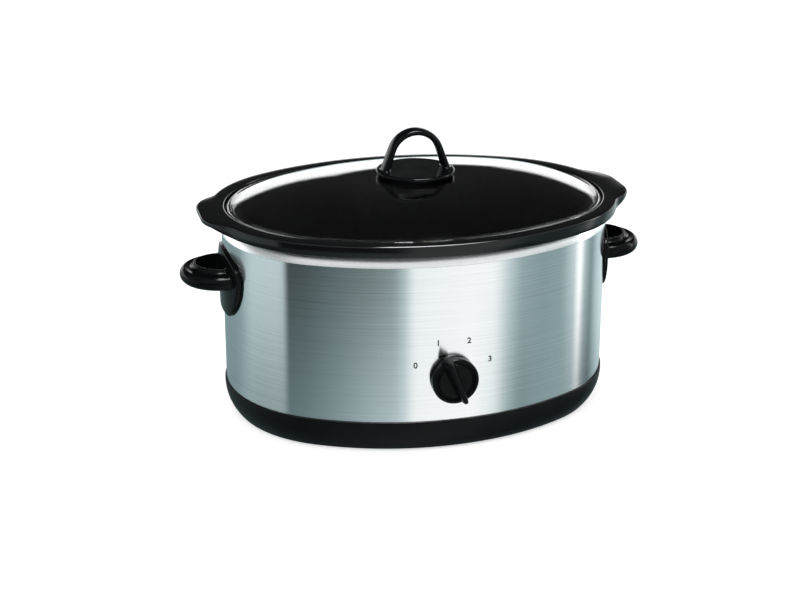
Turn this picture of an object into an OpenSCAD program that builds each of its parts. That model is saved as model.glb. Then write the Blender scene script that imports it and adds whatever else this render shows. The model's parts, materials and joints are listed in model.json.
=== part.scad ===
// Oval slow cooker: heating base with side handles and a rotary control,
// lift-out stoneware crock, and a glass lid with an arched handle.
// Millimetres.  +Z up, long axis along X, control knob on the -Y side,
// origin on the floor under the middle of the whole footprint.

/* [Body outline] */
// Distance from the middle to the centre of each round end
end_x = 62.273; // [60:0.001:65]
// Radius of the steel body's round ends
body_r = 117.727; // [115:0.001:120]
// Thickness of the sheet steel
sheet_t = 0.8; // [0.6:0.1:1]

/* [Heights] */
// Top edge of the plastic skirt
skirt_top_z = 32; // [30:0.1:34]
// Top of the rolled shoulder of the heating base
shoulder_z = 184.7; // [180:0.1:190]
// Top of the stoneware rim
rim_z = 199; // [196:0.5:202]
// Top of the lid's glass, under its handle
dome_z = 220; // [216:0.5:222]
// Highest point of the lid handle
arch_z = 264; // [260:0.5:268]

/* [Crock] */
// Thickness of the stoneware wall
crock_t = 8; // [7:0.5:9]
// Slope of the crock's wall, degrees from upright
wall_slope = 8; // [6:0.5:9]
// Inside radius between wall and floor
crock_corner_r = 30; // [24:1:34]
// Height of the crock's cooking floor
crock_floor_z = 66; // [64:0.5:70]
// Reach of the grip lobes from the middle
lobe_x = 201.5; // [198:0.5:204]

/* [Side handles] */
// Reach of the side handles from the middle
grip_x = 220.5; // [218:0.5:224]
// Radius of the finger opening
finger_r = 22; // [20:0.5:24]
// Height of the mounting plate's lower end
plate_low_z = 105; // [98:0.5:108]
// Height of the mounting plate's upper end
plate_high_z = 165; // [162:0.5:168]

/* [Control] */
// Height of the knob's centre
knob_z = 71.5; // [70:0.5:76]
// Diameter of the knob's disc
knob_d = 42; // [38:0.5:46]
// Angle of the pointer at rest, clockwise from upright
pointer_rest = -22.5; // [-22.5:0.5:-22.5]

/* [Hidden] */
$fn = 96;
eps = 0.01;
gap = 0.3;             // between pieces that lift apart
fit = 0.1;             // round clearance between fitted pieces

// ---------------------------------------------------------------- outlines
// A four-centred oval has end arcs of radius r about [+-e, 0], which turn
// join_a either side of the long axis, and flatter side arcs about [0, -+c].
// Growing r alone gives the parallel oval outside it.
join_a = 60;
function side_centre(e) = e * tan(join_a);
function side_radius(e, r) = r + e / cos(join_a);
function half_depth(e, r) = side_radius(e, r) - side_centre(e);

// Points of an arc about c, from angle a0 to a1
function arc(c, r, a0, a1, n = 8) =
  [for (i = [0:n]) let (t = a0 + (a1 - a0) * i / n) c + r * [cos(t), sin(t)]];

module oval(e, r) {
  far = 2 * (e + r) * [cos(join_a), sin(join_a)];
  for (s = [1, -1]) {
    translate([s * e, 0]) circle(r = r);
    intersection() {
      translate([0, -s * side_centre(e)]) circle(r = side_radius(e, r));
      polygon([[-e, 0], [e, 0], [e + far.x, s * far.y], [-e - far.x, s * far.y]]);
    }
  }
}

// Sweeps a profile, drawn as [distance outside the oval, height], round an oval
module sweep_oval(e, r)
  for (turn = [0, 180]) rotate([0, 0, turn]) {
    translate([e, 0, 0]) rotate_extrude(angle = 2 * join_a, start = -join_a)
      translate([r, 0]) children();
    translate([0, -side_centre(e), 0])
      rotate_extrude(angle = 180 - 2 * join_a, start = join_a)
      translate([side_radius(e, r), 0]) children();
  }

body_b = half_depth(end_x, body_r);       // half depth of the steel body
module body_oval(d = 0) oval(end_x, body_r + d);
module body_sweep() sweep_oval(end_x, body_r) children();
module body_plate(d, z, h) translate([0, 0, z]) linear_extrude(h) body_oval(d);

// Front face of the body and the depths behind it, at the knob
front_y = -body_b;
module from_front(depth = 0)               // +Z of the children points outward
  translate([0, front_y + depth, knob_z]) rotate([90, 0, 0]) children();

// ------------------------------------------------------------ crock and well
seat_z = rim_z - 6;                       // ledge that carries the lid
wall_top_d = -16;                         // inside of the crock at the ledge
corner_z = crock_floor_z + crock_corner_r;
corner_d = wall_top_d - (seat_z - corner_z) * tan(wall_slope)
         - crock_corner_r / cos(wall_slope);
floor_d = corner_d;                       // edge of the flat floor
lap = 6;                                  // flat stretch shared with the floor
crock_gap = 3.5;                          // air between crock and well
well_r = crock_corner_r + crock_t + crock_gap;
well_floor_z = 50;
well_corner_z = well_floor_z + well_r;

// Distance outside the oval of a wall line, n away from the crock's inside
function wall_d(n, z) =
  wall_top_d - (seat_z - z) * tan(wall_slope) + n / cos(wall_slope);

// Edge of the well's flat floor, which keeps its wall parallel to the crock's
well_d = wall_d(crock_t + crock_gap, well_corner_z) - well_r / cos(wall_slope);

rim_d = 10;                               // overhang of the rim
rim_low_d = 1.6;
rim_low_z = shoulder_z + gap;
lip_d = -2.1;                             // inner edge of the rim's flat top
glass_d = -5.6;                           // outer edge of the lid

module crock_wall_profile()
  polygon(concat(
    [[floor_d - lap, crock_floor_z]],
    arc([floor_d, corner_z], crock_corner_r, -90, -wall_slope),
    arc([wall_top_d - 2, seat_z - 2], 2, 0, 90, 3),
    [[lip_d - 2.4, seat_z], [lip_d - 1.2, rim_z - 2.4]],
    arc([lip_d + 0.4, rim_z - 1.6], 1.6, 160, 90, 3),
    arc([rim_d - 2, rim_z - 2], 2, 90, 0, 4),
    [[rim_d - 0.4, rim_z - 4.5], [rim_low_d + 1.6, rim_low_z + 3],
     [rim_low_d, rim_low_z]],
    [[wall_d(crock_t, rim_low_z), rim_low_z]],
    arc([floor_d, corner_z], crock_corner_r + crock_t, -wall_slope, -90),
    [[floor_d - lap, crock_floor_z - crock_t]]));

// Tongue-shaped grip at each end of the rim, with blended flanks
lobe_r = 40;
lobe_y = 13;
lobe_c = [lobe_x - lobe_r, lobe_y];
blend_r = 24;
rim_r = body_r + rim_d;

// Point at distance p from a and q from b, on the left going from a to b
function meet(a, p, b, q) =
  let (l = norm(b - a), u = (b - a) / l, s = (p * p - q * q + l * l) / (2 * l))
  a + s * u + sqrt(p * p - s * s) * [-u.y, u.x];

function bearing(a, b) = atan2(b.y - a.y, b.x - a.x);

module lobe_outline() {
  rim_c = [end_x, 0];
  blend_c = meet(rim_c, rim_r - 0.5 + blend_r, lobe_c, lobe_r + blend_r);
  side = concat(
    arc(blend_c, blend_r, bearing(blend_c, rim_c), bearing(blend_c, lobe_c), 8),
    arc(lobe_c, lobe_r, bearing(lobe_c, blend_c), 0, 12));
  polygon(concat(side, [for (i = [len(side) - 1:-1:0]) [side[i].x, -side[i].y]]));
}

lobe_edge_t = 6;
module crock_lobe() intersection() {
  translate([0, 0, rim_low_z]) linear_extrude(rim_z - rim_low_z) lobe_outline();
  translate([end_x, 0, 0]) rotate_extrude() polygon(concat(
    [[body_r + 1, rim_low_z + 4], [lobe_x - end_x - 3, rim_z - lobe_edge_t]],
    arc([lobe_x - end_x - 2, rim_z - 2], 2, 0, 90, 4),
    [[body_r + 1, rim_z]]));
}

module crock() placed() color("#17181a") {
  body_sweep() crock_wall_profile();
  body_plate(floor_d - lap / 2, crock_floor_z - crock_t, crock_t);
  // foot ring
  body_sweep() translate([floor_d - 12, crock_floor_z - crock_t - 4]) square([8, 5]);
  for (turn = [0, 180]) rotate([0, 0, turn]) crock_lobe();
}

// ---------------------------------------------------------------------- lid
bead_r = 2.4;
bead_d = glass_d - bead_r;
bead_z = seat_z + gap + bead_r;
glass_t = 4;
crown_d = -108;                           // where the dome turns flat
shoulder_d = -15.5;                       // where the dome meets the steep side
dome_rise = 17;
dome_run = shoulder_d - crown_d;
dome_r = (dome_run * dome_run + dome_rise * dome_rise) / (2 * dome_rise);
dome_half = asin(dome_run / dome_r);

module lid_profile() {
  c = [crown_d, dome_z - dome_r];
  translate([bead_d, bead_z]) circle(r = bead_r, $fn = 32);
  polygon(concat(
    [[bead_d, bead_z - bead_r + 0.4], [bead_d, bead_z + bead_r - 0.4],
     [bead_d - 2.8, bead_z + bead_r + 0.6], [bead_d - 5.2, bead_z + bead_r + 3.1]],
    arc(c, dome_r, 90 - dome_half, 90, 12),
    [[crown_d - lap, dome_z], [crown_d - lap, dome_z - glass_t]],
    arc(c, dome_r - glass_t, 90, 90 - dome_half, 12),
    [[bead_d - 7.2, bead_z + 1], [bead_d - 5, bead_z - 0.8]]));
}

boss_r = 4;                               // handle's boss, through the glass
stud_r = 1.8;                             // lid screw
module lid_glass() placed() color([0.82, 0.88, 0.9, 0.35]) difference() {
  union() {
    body_sweep() lid_profile();
    body_plate(crown_d - lap / 2, dome_z - glass_t, glass_t);
  }
  translate([0, 0, dome_z - 10]) cylinder(r = boss_r + 2 * fit, h = 20);
}

disc_z = dome_z + 2;                      // underside of the handle's disc
disc_t = 4;
disc_r = 36.4;
arch_r = 26.5;                            // outside of the arch
arch_lean = 18;                           // slope of its legs
arch_t = 4.5;
arch_w = 14;
arch_foot_x = 32;

module arch_outline() {
  c = [0, arch_z - arch_r];
  foot_z = disc_z + disc_t - 1;
  polygon(concat(
    [[arch_foot_x + 0.8, foot_z]],
    arc(c, arch_r, arch_lean, 180 - arch_lean, 24),
    [[-arch_foot_x - 0.8, foot_z], [2.4 - arch_foot_x + arch_t, foot_z]],
    arc(c, arch_r - arch_t, 180 - arch_lean, arch_lean, 24),
    [[arch_foot_x - arch_t - 2.4, foot_z]]));
}

module lid_handle() placed() color("#141517") difference() {
  union() {
    rotate_extrude() translate([0, disc_z]) polygon(concat(
      [[0, 0], [disc_r - 1, 0], [disc_r, 1]],
      arc([disc_r - 1.4, disc_t - 1.4], 1.4, 0, 90, 4), [[0, disc_t]]));
    translate([0, arch_w / 2, 0]) rotate([90, 0, 0]) linear_extrude(arch_w) arch_outline();
    translate([0, 0, dome_z - glass_t]) cylinder(r = boss_r, h = glass_t + 3);
  }
  translate([0, 0, dome_z - glass_t - 1]) cylinder(r = stud_r + fit / 2, h = glass_t + 4.5);
}

module lid_gasket() placed() color("#3a3b3c") translate([0, 0, dome_z]) difference() {
  cylinder(r = 12, h = disc_z - dome_z);
  translate([0, 0, -1]) cylinder(r = boss_r + fit, h = 4);
}

washer_t = 1.2;
module lid_washer() placed() color("#3a3b3c")
  translate([0, 0, dome_z - glass_t - washer_t]) difference() {
    cylinder(r = 9, h = washer_t);
    translate([0, 0, -1]) cylinder(r = stud_r + 0.4, h = 4);
  }

module lid_screw() placed() color("silver") {
  under = dome_z - glass_t - washer_t;
  translate([0, 0, under - 2.4]) difference() {
    union() {
      cylinder(r1 = 3.6, r2 = 4.8, h = 1.2);
      translate([0, 0, 1.2]) cylinder(r = 4.8, h = 1.2);
    }
    for (turn = [0, 90]) rotate([0, 0, turn])
      translate([-2.6, -0.5, -1]) cube([5.2, 1, 2.1]);
  }
  translate([0, 0, under - eps]) cylinder(r = stud_r, h = washer_t + glass_t + 1);
}

// ------------------------------------------------------------- heating base
skirt_r = 40;                             // bulge of the skirt's wall
skirt_t = 2.6;
skirt_low_z = 1.5;
skirt_bulge_z = 29;
skirt_out_d = 1.4;
ledge_z = 27;                             // carries the sheet-steel wrap
ledge_d = -3.4;
skirt_low_a = -asin((skirt_bulge_z - skirt_low_z) / skirt_r);
cover_z = 4;                              // underside of the bottom cover
cover_t = 1.2;
flange_z = cover_z + cover_t;
flange_t = 2.2;
post_d = -16.5;                           // line of the screw posts
post_end_a = 35;
post_side_a = 13;
screw_r = 1.6;

// The places of the cover's screws
module at_posts() {
  for (turn = [0, 180], s = [1, -1]) rotate([0, 0, turn]) {
    translate([end_x, 0, 0]) rotate([0, 0, s * post_end_a])
      translate([body_r + post_d, 0, 0]) children();
    translate([0, -side_centre(end_x), 0]) rotate([0, 0, 90 + s * post_side_a])
      translate([side_radius(end_x, body_r) + post_d, 0, 0]) children();
  }
}

gland_z = 15;
gland_r = 5;
cord_r = 3.6;
module from_back(depth = 0)
  translate([0, body_b - depth, gland_z]) rotate([-90, 0, 0]) children();

module base_skirt() placed() color("#101112") difference() {
  union() {
    body_sweep() {
      c = [skirt_out_d - skirt_r, skirt_bulge_z];
      polygon(concat(
        arc(c, skirt_r, skirt_low_a, 0, 12),
        [[skirt_out_d, skirt_top_z - 0.6], [skirt_out_d - 0.6, skirt_top_z],
         [fit, skirt_top_z], [fit, ledge_z], [ledge_d, ledge_z]],
        arc(c, skirt_r - skirt_t, -acos((ledge_d - c.x) / (skirt_r - skirt_t)),
            skirt_low_a, 10)));
      translate([-22, flange_z]) square([14, flange_t]);
    }
    at_posts() translate([0, 0, flange_z]) cylinder(r = 4.2, h = 14, $fn = 48);
    from_back(9) cylinder(r = 9, h = 9.6);
  }
  at_posts() translate([0, 0, flange_z - 1]) cylinder(r = screw_r, h = 13, $fn = 48);
  from_back(14) cylinder(r = gland_r + fit, h = 20);
}

vent_w = 3;
vent_l = 26;
module slot(l, w) {
  square([l - w, w], center = true);
  for (s = [1, -1]) translate([s * (l - w) / 2, 0]) circle(d = w);
}

cup_r = 15;
cup_h = 6;
tie_r = 3;
foot_x = 108;
foot_y = 60;
module at_feet() for (sx = [1, -1], sy = [1, -1])
  translate([sx * foot_x, sy * foot_y, 0]) children();

module bottom_cover() placed() color("#9aa0a3") difference() {
  union() {
    body_plate(-11.5, cover_z, cover_t);
    translate([0, 0, cover_z]) cylinder(r = cup_r, h = cup_h + cover_t);
  }
  translate([0, 0, cover_z - 1]) cylinder(r = cup_r - cover_t, h = cup_h + 1);
  translate([0, 0, cover_z]) cylinder(r = tie_r + fit, h = 20);
  at_posts() translate([0, 0, cover_z - 1]) cylinder(r = screw_r + 0.4, h = 4, $fn = 48);
  at_feet() translate([0, 0, cover_z - 1]) cylinder(r = 3 + fit, h = 4, $fn = 48);
  for (sx = [1, -1], row = [-2:2]) translate([sx * 56, row * 9, cover_z - 1])
    linear_extrude(4) slot(vent_l, vent_w);
}

module rubber_feet() placed() color("#26282a") at_feet() {
  cylinder(r1 = 8, r2 = 9, h = 1.5);
  translate([0, 0, 1.5]) cylinder(r = 9, h = cover_z - 1.5);
  translate([0, 0, cover_z - eps]) cylinder(r = 3, h = cover_t + 2 * eps, $fn = 48);
  translate([0, 0, flange_z]) cylinder(r1 = 4, r2 = 2.4, h = 2.5, $fn = 48);
}

module pan_screw(head_r, head_h, r, l) {
  cylinder(r1 = head_r - 0.6, r2 = head_r, h = head_h, $fn = 48);
  translate([0, 0, head_h - eps]) cylinder(r = r, h = l, $fn = 48);
}

module cover_screws() placed() color("silver")
  at_posts() translate([0, 0, cover_z - 1.8]) pan_screw(3.2, 1.8, screw_r - 0.05, 9);

module cord_gland() placed() color("#1b1c1e") difference() {
  union() {
    from_back(12) cylinder(r = gland_r, h = 14.5);
    from_back(11.5) cylinder(r = gland_r + 2, h = 2.4);
    from_back(-0.65) cylinder(r1 = gland_r + 2, r2 = gland_r + 1.2, h = 2.2);
  }
  from_back(14) cylinder(r = cord_r, h = 20);
}

// Handle screws run outward from inside the wrap into the roots of each grip
root_a = 14.5;
root_z = 142;
module at_handle_screws() for (turn = [0, 180], s = [1, -1]) rotate([0, 0, turn])
  translate([end_x, 0, root_z]) rotate([0, 90, s * root_a]) translate([0, 0, body_r])
  children();

// The well's rim rolls over the wrap: a convex band that leans roll_a at its hem
roll_d = 1.2;
roll_z = 176.5;
roll_r = 26;
roll_a = 15;
roll_c = [roll_d - roll_r * cos(roll_a), roll_z - roll_r * sin(roll_a)];
wrap_top_z = roll_z + 0.9;
function roll_rise(r, z) = asin((z - roll_c.y) / r);

bush_r = 4.75;
module steel_wrap() placed() color("#b9bdc0") difference() {
  body_plate(0, ledge_z, wrap_top_z - ledge_z);
  body_plate(-sheet_t, ledge_z - 1, shoulder_z);
  from_front(5) cylinder(r = bush_r + 0.25, h = 10);
  at_handle_screws() translate([0, 0, -5]) cylinder(r = 2.2, h = 10, $fn = 48);
}

// Drawn pan whose rim rolls over the wrap as a bright shoulder
module heating_well() placed() color("#c9cdcf") {
  c = [well_d, well_corner_z];
  under_z = shoulder_z - sheet_t;
  inner_r = roll_r - sheet_t;
  body_sweep() polygon(concat(
    [[well_d - lap, well_floor_z]],
    arc(c, well_r, -90, -wall_slope),
    [[wall_d(crock_t + crock_gap, shoulder_z), shoulder_z]],
    arc(roll_c, roll_r, roll_rise(roll_r, shoulder_z), roll_a, 6),
    [[roll_d - 0.6, roll_z - 0.4], [fit, roll_z]],
    arc(roll_c, inner_r, roll_rise(inner_r, wrap_top_z + fit), roll_rise(inner_r, under_z), 6),
    [[wall_d(heater_n, under_z), under_z]],
    arc(c, well_r + sheet_t, -wall_slope, -90),
    [[well_d - lap, well_floor_z - sheet_t]]));
  body_plate(well_d - lap / 2, well_floor_z - sheet_t, sheet_t);
}

heater_z = [94, 142];
heater_t = 1.6;
strap_t = 0.8;
heater_n = crock_t + crock_gap + sheet_t;  // from the crock's inside
rear_slot = 14;
module band_profile(n, t, z0, z1) polygon([
  [wall_d(n, z0), z0], [wall_d(n + t, z0), z0],
  [wall_d(n + t, z1), z1], [wall_d(n, z1), z1]]);
module rear_gap(w) translate([-w / 2, 0, 0]) cube([w, 200, 200]);

module band_heater() placed() color("#b59a6a") difference() {
  body_sweep() band_profile(heater_n + 0.05, heater_t, heater_z[0], heater_z[1]);
  rear_gap(rear_slot);
}

strap_z = [112, 124];
strap_n = heater_n + heater_t + 0.1;
lug_y = body_b + wall_d(strap_n, strap_z[0]);
lug_h = 8;
module heater_strap() placed() color("#a7abad") difference() {
  union() {
    difference() {
      body_sweep() band_profile(strap_n, strap_t, strap_z[0], strap_z[1]);
      rear_gap(rear_slot - 2);
    }
    for (s = [0, 1]) mirror([s, 0, 0]) translate([rear_slot / 2 - 1.4, lug_y, strap_z[0]])
      cube([1.4, lug_h, strap_z[1] - strap_z[0]]);
  }
  translate([-20, lug_y + 5.2, (strap_z[0] + strap_z[1]) / 2]) rotate([0, 90, 0])
    cylinder(r = 1.7, h = 40, $fn = 48);
}

module strap_screw() placed() color("silver")
  translate([0, lug_y + 5.2, (strap_z[0] + strap_z[1]) / 2]) rotate([0, 90, 0]) {
    translate([0, 0, -9]) cylinder(r = 1.5, h = 18, $fn = 48);
    translate([0, 0, -9.2]) cylinder(r = 2.6, h = 2.2, $fn = 48);
    translate([0, 0, 7]) cylinder(r = 2.8, h = 1.8, $fn = 6);
  }

shield_z = 36;
shield_d = -60;
module heat_shield() placed() color("#aeb3b6") difference() {
  union() {
    body_plate(shield_d - lap / 2, shield_z, sheet_t);
    body_sweep() polygon([
      [shield_d - lap, shield_z], [shield_d, shield_z],
      [shield_d + 12, shield_z + 7], [shield_d + 11.6, shield_z + 7.7],
      [shield_d - 0.2, shield_z + sheet_t], [shield_d - lap, shield_z + sheet_t]]);
  }
  translate([0, 0, shield_z - 1]) cylinder(r = tie_r + fit, h = 4);
}

cup_top_z = cover_z + cup_h + cover_t;
module tie_bolt() placed() color("#b4b8bb") {
  translate([0, 0, 5]) cylinder(r = tie_r, h = well_floor_z - sheet_t - 5);
  translate([0, 0, well_floor_z - sheet_t - 1]) cylinder(r = 9, h = 1);
}

module tube(outer, inner, z0, z1) translate([0, 0, z0]) difference() {
  cylinder(r = outer, h = z1 - z0);
  translate([0, 0, -1]) cylinder(r = inner, h = z1 - z0 + 2);
}

module tie_sleeves() placed() color("#8f9497") {
  tube(5, tie_r + fit, cup_top_z, shield_z);
  tube(5, tie_r + fit, shield_z + sheet_t, well_floor_z - sheet_t - 1);
}

module tie_nut() placed() color("silver") translate([0, 0, cup_top_z - cover_t - 4]) difference() {
  cylinder(r = 5.8, h = 4, $fn = 6);
  translate([0, 0, -1]) cylinder(r = tie_r + 0.05, h = 6);
}

// Cut-out held against the rear of the well, inside its clip
fuse_z = 80;
fuse_y = body_b + wall_d(heater_n, heater_z[0]) - 2.6;
module thermal_fuse() placed() color("#c8b070") translate([-14, fuse_y + 4, fuse_z]) rotate([0, 90, 0]) {
  cylinder(r = 2, h = 28, $fn = 48);
  translate([0, 0, -5]) cylinder(r = 0.6, h = 38, $fn = 32);
}

module fuse_clip() placed() color("#9da2a5") translate([0, fuse_y + 4, fuse_z]) rotate([0, 90, 0])
  difference() {
    translate([0, 0, -5]) cylinder(r = 2.8, h = 10, $fn = 48);
    translate([0, 0, -6]) cylinder(r = 2.05, h = 12, $fn = 48);
    translate([-1, 1.2, -6]) cube([2, 4, 12]);
  }

// ------------------------------------------------------------------ control
plate_depth = 1.6;                        // behind the front face
plate_t = 1.2;
seat_depth = plate_depth + plate_t;
switch_w = 30;
switch_h = 26;
switch_t = 13;
shaft_r = 3;

module switch_plate() placed() color("#a3a8ab") from_front(seat_depth) difference() {
  translate([-18, -18, 0]) cube([36, 36, plate_t]);
  translate([0, 0, -1]) cylinder(r = bush_r + 0.25, h = 4);
}

module rotary_switch() placed() color("#7b4a2a") difference() {
  union() {
    from_front(seat_depth + switch_t) {
      translate([-switch_w / 2, -switch_h / 2, 0]) cube([switch_w, switch_h, switch_t]);
      translate([0, 0, switch_t - eps]) cylinder(r = bush_r, h = seat_depth + 3.2);
      for (x = [-9, -3, 3, 9]) translate([x - 2, -switch_h / 2 - 6, 4]) cube([4, 7, 0.8]);
    }
  }
  from_front(seat_depth + switch_t - 2) cylinder(r = shaft_r + 0.05, h = 40);
}

module switch_nut() placed() color("silver") from_front(-0.05) difference() {
  cylinder(r = 8, h = 2.2, $fn = 6);
  translate([0, 0, -1]) cylinder(r = bush_r + 0.05, h = 5);
}

knob_back = 1.2;                          // gap between knob and steel
knob_disc_t = 8;
knob_bar_h = 19;
knob_r = knob_d / 2;
bar_w = 11.6;                             // near the pointer
tail_w = 7.6;
pointer_r = 25;
tail_r = 20.5;
hub_r = 5.6;
flat = 1;                                 // depth of the flat on the shaft

module d_section(r, cut) difference() {
  circle(r = r);
  translate([-2 * r, r - cut]) square([4 * r, 2 * r]);
}

shaft_in = seat_depth + switch_t - 2.4;   // depth of the shaft's inner end
shaft_out = 12.6;                         // reach of its outer end
module switch_shaft() placed() color("#c3c7c9") difference() {
  from_front(shaft_in) cylinder(r = shaft_r, h = shaft_in + shaft_out);
  from_front(-1) rotate([0, 0, -pointer_rest])
    translate([-shaft_r, shaft_r - flat, 0]) cube([2 * shaft_r, shaft_r, shaft_out]);
}

// Cross-section of the finger bar: upright flanks and a rounded ridge
module bar_outline() polygon(concat(
  arc([3 - tail_w / 2, 3 - tail_r], 3, 180, 270, 4),
  arc([tail_w / 2 - 3, 3 - tail_r], 3, 270, 360, 4),
  [[bar_w / 2, pointer_r - 7], [0.8, pointer_r], [-0.8, pointer_r],
   [-bar_w / 2, pointer_r - 7]]));

module bar_ridge() rotate([90, 0, 0]) translate([0, 0, -30]) linear_extrude(60)
  polygon(concat([[-bar_w, 0], [-bar_w, 4], [-bar_w / 2 - 0.4, 4]],
    arc([-2.3, knob_bar_h - 2], 2, 165, 90, 4), arc([2.3, knob_bar_h - 2], 2, 90, 15, 4),
    [[bar_w / 2 + 0.4, 4], [bar_w, 4], [bar_w, 0]]));

module knob() placed() color("#131416") from_front(-knob_back) rotate([0, 0, -pointer_rest])
  difference() {
    union() {
      rotate_extrude() polygon(concat(
        [[0, 0], [knob_r - 0.6, 0], [knob_r, 0.8]],
        arc([knob_r - 1.8, knob_disc_t - 1.8], 1.8, 0, 90, 5),
        arc([knob_r - 5, knob_disc_t], 1.8, 0, -90, 4),
        [[0, knob_disc_t - 1]]));
      intersection() {
        linear_extrude(knob_bar_h) bar_outline();
        bar_ridge();
      }
    }
    // hollow back that clears the nut, with a hub round the shaft
    translate([0, 0, -1]) difference() {
      cylinder(r = knob_r - 2.4, h = knob_disc_t - 1.4);
      translate([0, 0, 4.4]) cylinder(r = hub_r, h = 10);
    }
    translate([0, 0, 1]) linear_extrude(10.6) d_section(shaft_r + 0.05, flat - 0.05);
    translate([-1.6, shaft_r - flat, 1]) cube([3.2, 1, 9]);
  }

module knob_clip() placed() color("#8d9295") from_front(-knob_back) rotate([0, 0, -pointer_rest])
  translate([-1.4, shaft_r - flat + 0.15, 3.6]) cube([2.8, 0.6, 6]);

// ------------------------------------------------------------- side handles
plate_r0 = body_r + fit;
grip_c = grip_x - 37;                     // centre of the finger opening

// Shield-shaped mounting plate: shallow top arc, full corners, tapering sides
module plate_outline() {
  half = 45;
  top = [0, plate_high_z - 90];
  top_r = 90;
  corner_r = 16;
  corner_x = half - corner_r;
  corner = [corner_x, top.y + sqrt(pow(top_r - corner_r, 2) - corner_x * corner_x)];
  side_r = 44;
  side = [half - side_r, corner.y];
  foot_r = 10;
  foot_z = plate_low_z + foot_r;
  foot = [side.x + sqrt(pow(side_r - foot_r, 2) - pow(side.y - foot_z, 2)), foot_z];
  foot_a = atan2(foot.y - side.y, foot.x - side.x);
  top_a = atan2(corner.y - top.y, corner.x);
  right = concat(
    arc(foot, foot_r, -90, foot_a, 4), arc(side, side_r, foot_a, 0, 8),
    arc(corner, corner_r, 0, top_a, 6), arc(top, top_r, top_a, 90, 6));
  polygon(concat(right, [for (i = [len(right) - 2:-1:0]) [-right[i].x, right[i].y]]));
}

module handle_plate() intersection() {
  rotate([90, 0, 90]) translate([0, 0, end_x]) linear_extrude(body_r + 20) plate_outline();
  translate([end_x, 0, 0]) rotate_extrude(angle = 90, start = -45) polygon([
    [plate_r0, plate_low_z - 2], [plate_r0 + 3.2, plate_low_z - 2],
    [plate_r0 + 4.2, plate_low_z + 24], [plate_r0 + 4.2, plate_high_z - 16],
    [plate_r0 + 2.4, plate_high_z + 1], [plate_r0, plate_high_z + 1]]);
}

// Section of the grip loop as [distance from the opening's centre, height]
grip_low_z = 133;
grip_lip_z = 151;
grip_nose_r = 7.5;
module grip_section() {
  nose = [grip_x - grip_c - grip_nose_r, grip_low_z + grip_nose_r];
  saddle = [finger_r + 9, grip_lip_z + 1.4];
  polygon(concat(
    [[finger_r, grip_low_z + 1.5], [finger_r + 1.5, grip_low_z]],
    arc(nose, grip_nose_r, -90, 62, 10),
    arc(saddle, 7, 242, 190, 5),
    [[finger_r + 1.6, grip_lip_z], [finger_r + 0.6, grip_lip_z],
     [finger_r, grip_lip_z - 0.8]]));
}

module handle_grip() {
  translate([grip_c, 0, 0]) rotate_extrude(angle = 180, start = -90) grip_section();
  difference() {
    for (s = [0, 1]) mirror([0, s, 0]) translate([grip_c, 0, 0]) rotate([90, 0, -90])
      linear_extrude(22) grip_section();
    translate([end_x, 0, grip_low_z - 20]) cylinder(r = plate_r0 + 1, h = 80);
  }
}

module side_handle() color("#141517") difference() {
  union() {
    handle_plate();
    handle_grip();
  }
  for (s = [1, -1]) translate([end_x, 0, root_z]) rotate([0, 90, s * root_a])
    translate([0, 0, body_r - 1]) cylinder(r = 1.75, h = 13, $fn = 48);
}
module right_handle() placed() side_handle();
module left_handle() placed() rotate([0, 0, 180]) side_handle();

backplate_t = 1.5;
module handle_backplates() placed() color("#8f9497") difference() {
  for (turn = [0, 180]) rotate([0, 0, turn]) translate([end_x, 0, 0])
    rotate_extrude(angle = 44, start = -22)
    translate([body_r - sheet_t - fit - backplate_t, root_z - 9]) square([backplate_t, 18]);
  at_handle_screws() translate([0, 0, -10]) cylinder(r = 2.2, h = 20, $fn = 48);
}

screw_head_h = 2;
module handle_screws() placed() color("silver") at_handle_screws()
  translate([0, 0, -sheet_t - fit - backplate_t - screw_head_h - 0.05])
  pan_screw(3.6, screw_head_h, 1.7, 14);

// ------------------------------------------------------------------- wiring
// Each lead runs through points chosen inside the base, under the well
lead_r = 1.1;
lead_sides = 8;
lead_routes = [
  [[9, -119, 54], [11, -112, 40], [40, -80, 27], [60, 0, 24], [40, 80, 27],
   [12, 104, 45], [19, 113, 74]],
  [[-9, -119, 54], [-11, -112, 40], [-40, -80, 27], [-60, 0, 24], [-36, 80, 22],
   [-6, 108, 16], [-2, 119, 15]],
  [[3, -119, 54], [4, -110, 36], [24, -70, 22], [36, 0, 20], [20, 80, 19],
   [4, 108, 15], [2, 119, 15]]
];

function along(p, i, t) =
  let (n = len(p) - 1, a = p[max(i - 1, 0)], b = p[i], c = p[i + 1], d = p[min(i + 2, n)])
  0.5 * (2 * b + (c - a) * t + (2 * a - 5 * b + 4 * c - d) * t * t
       + (3 * b - a - 3 * c + d) * t * t * t);
function route(p, steps) =
  [for (i = [0:len(p) - 2], k = [0:steps - 1]) along(p, i, k / steps), p[len(p) - 1]];
function unit(v) = v / norm(v);

module swept_tube(path, r, sides) {
  n = len(path);
  ring = [for (i = [0:n - 1])
    let (t = unit(path[min(i + 1, n - 1)] - path[max(i - 1, 0)]),
         u = unit(cross(t, abs(t.x) < 0.9 ? [1, 0, 0] : [0, 1, 0])), v = cross(t, u))
    for (k = [0:sides - 1]) path[i] + r * (cos(360 * k / sides) * u + sin(360 * k / sides) * v)];
  walls = [for (i = [0:n - 2], k = [0:sides - 1]) let (j = (k + 1) % sides)
    [i * sides + k, (i + 1) * sides + k, (i + 1) * sides + j, i * sides + j]];
  ends = [[for (k = [0:sides - 1]) k],
          [for (k = [sides - 1:-1:0]) (n - 1) * sides + k]];
  polyhedron(ring, concat(walls, ends));
}

module lead_wires() placed() color("#d8d4c8")
  for (p = lead_routes) swept_tube(route(p, 4), lead_r, lead_sides);

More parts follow.
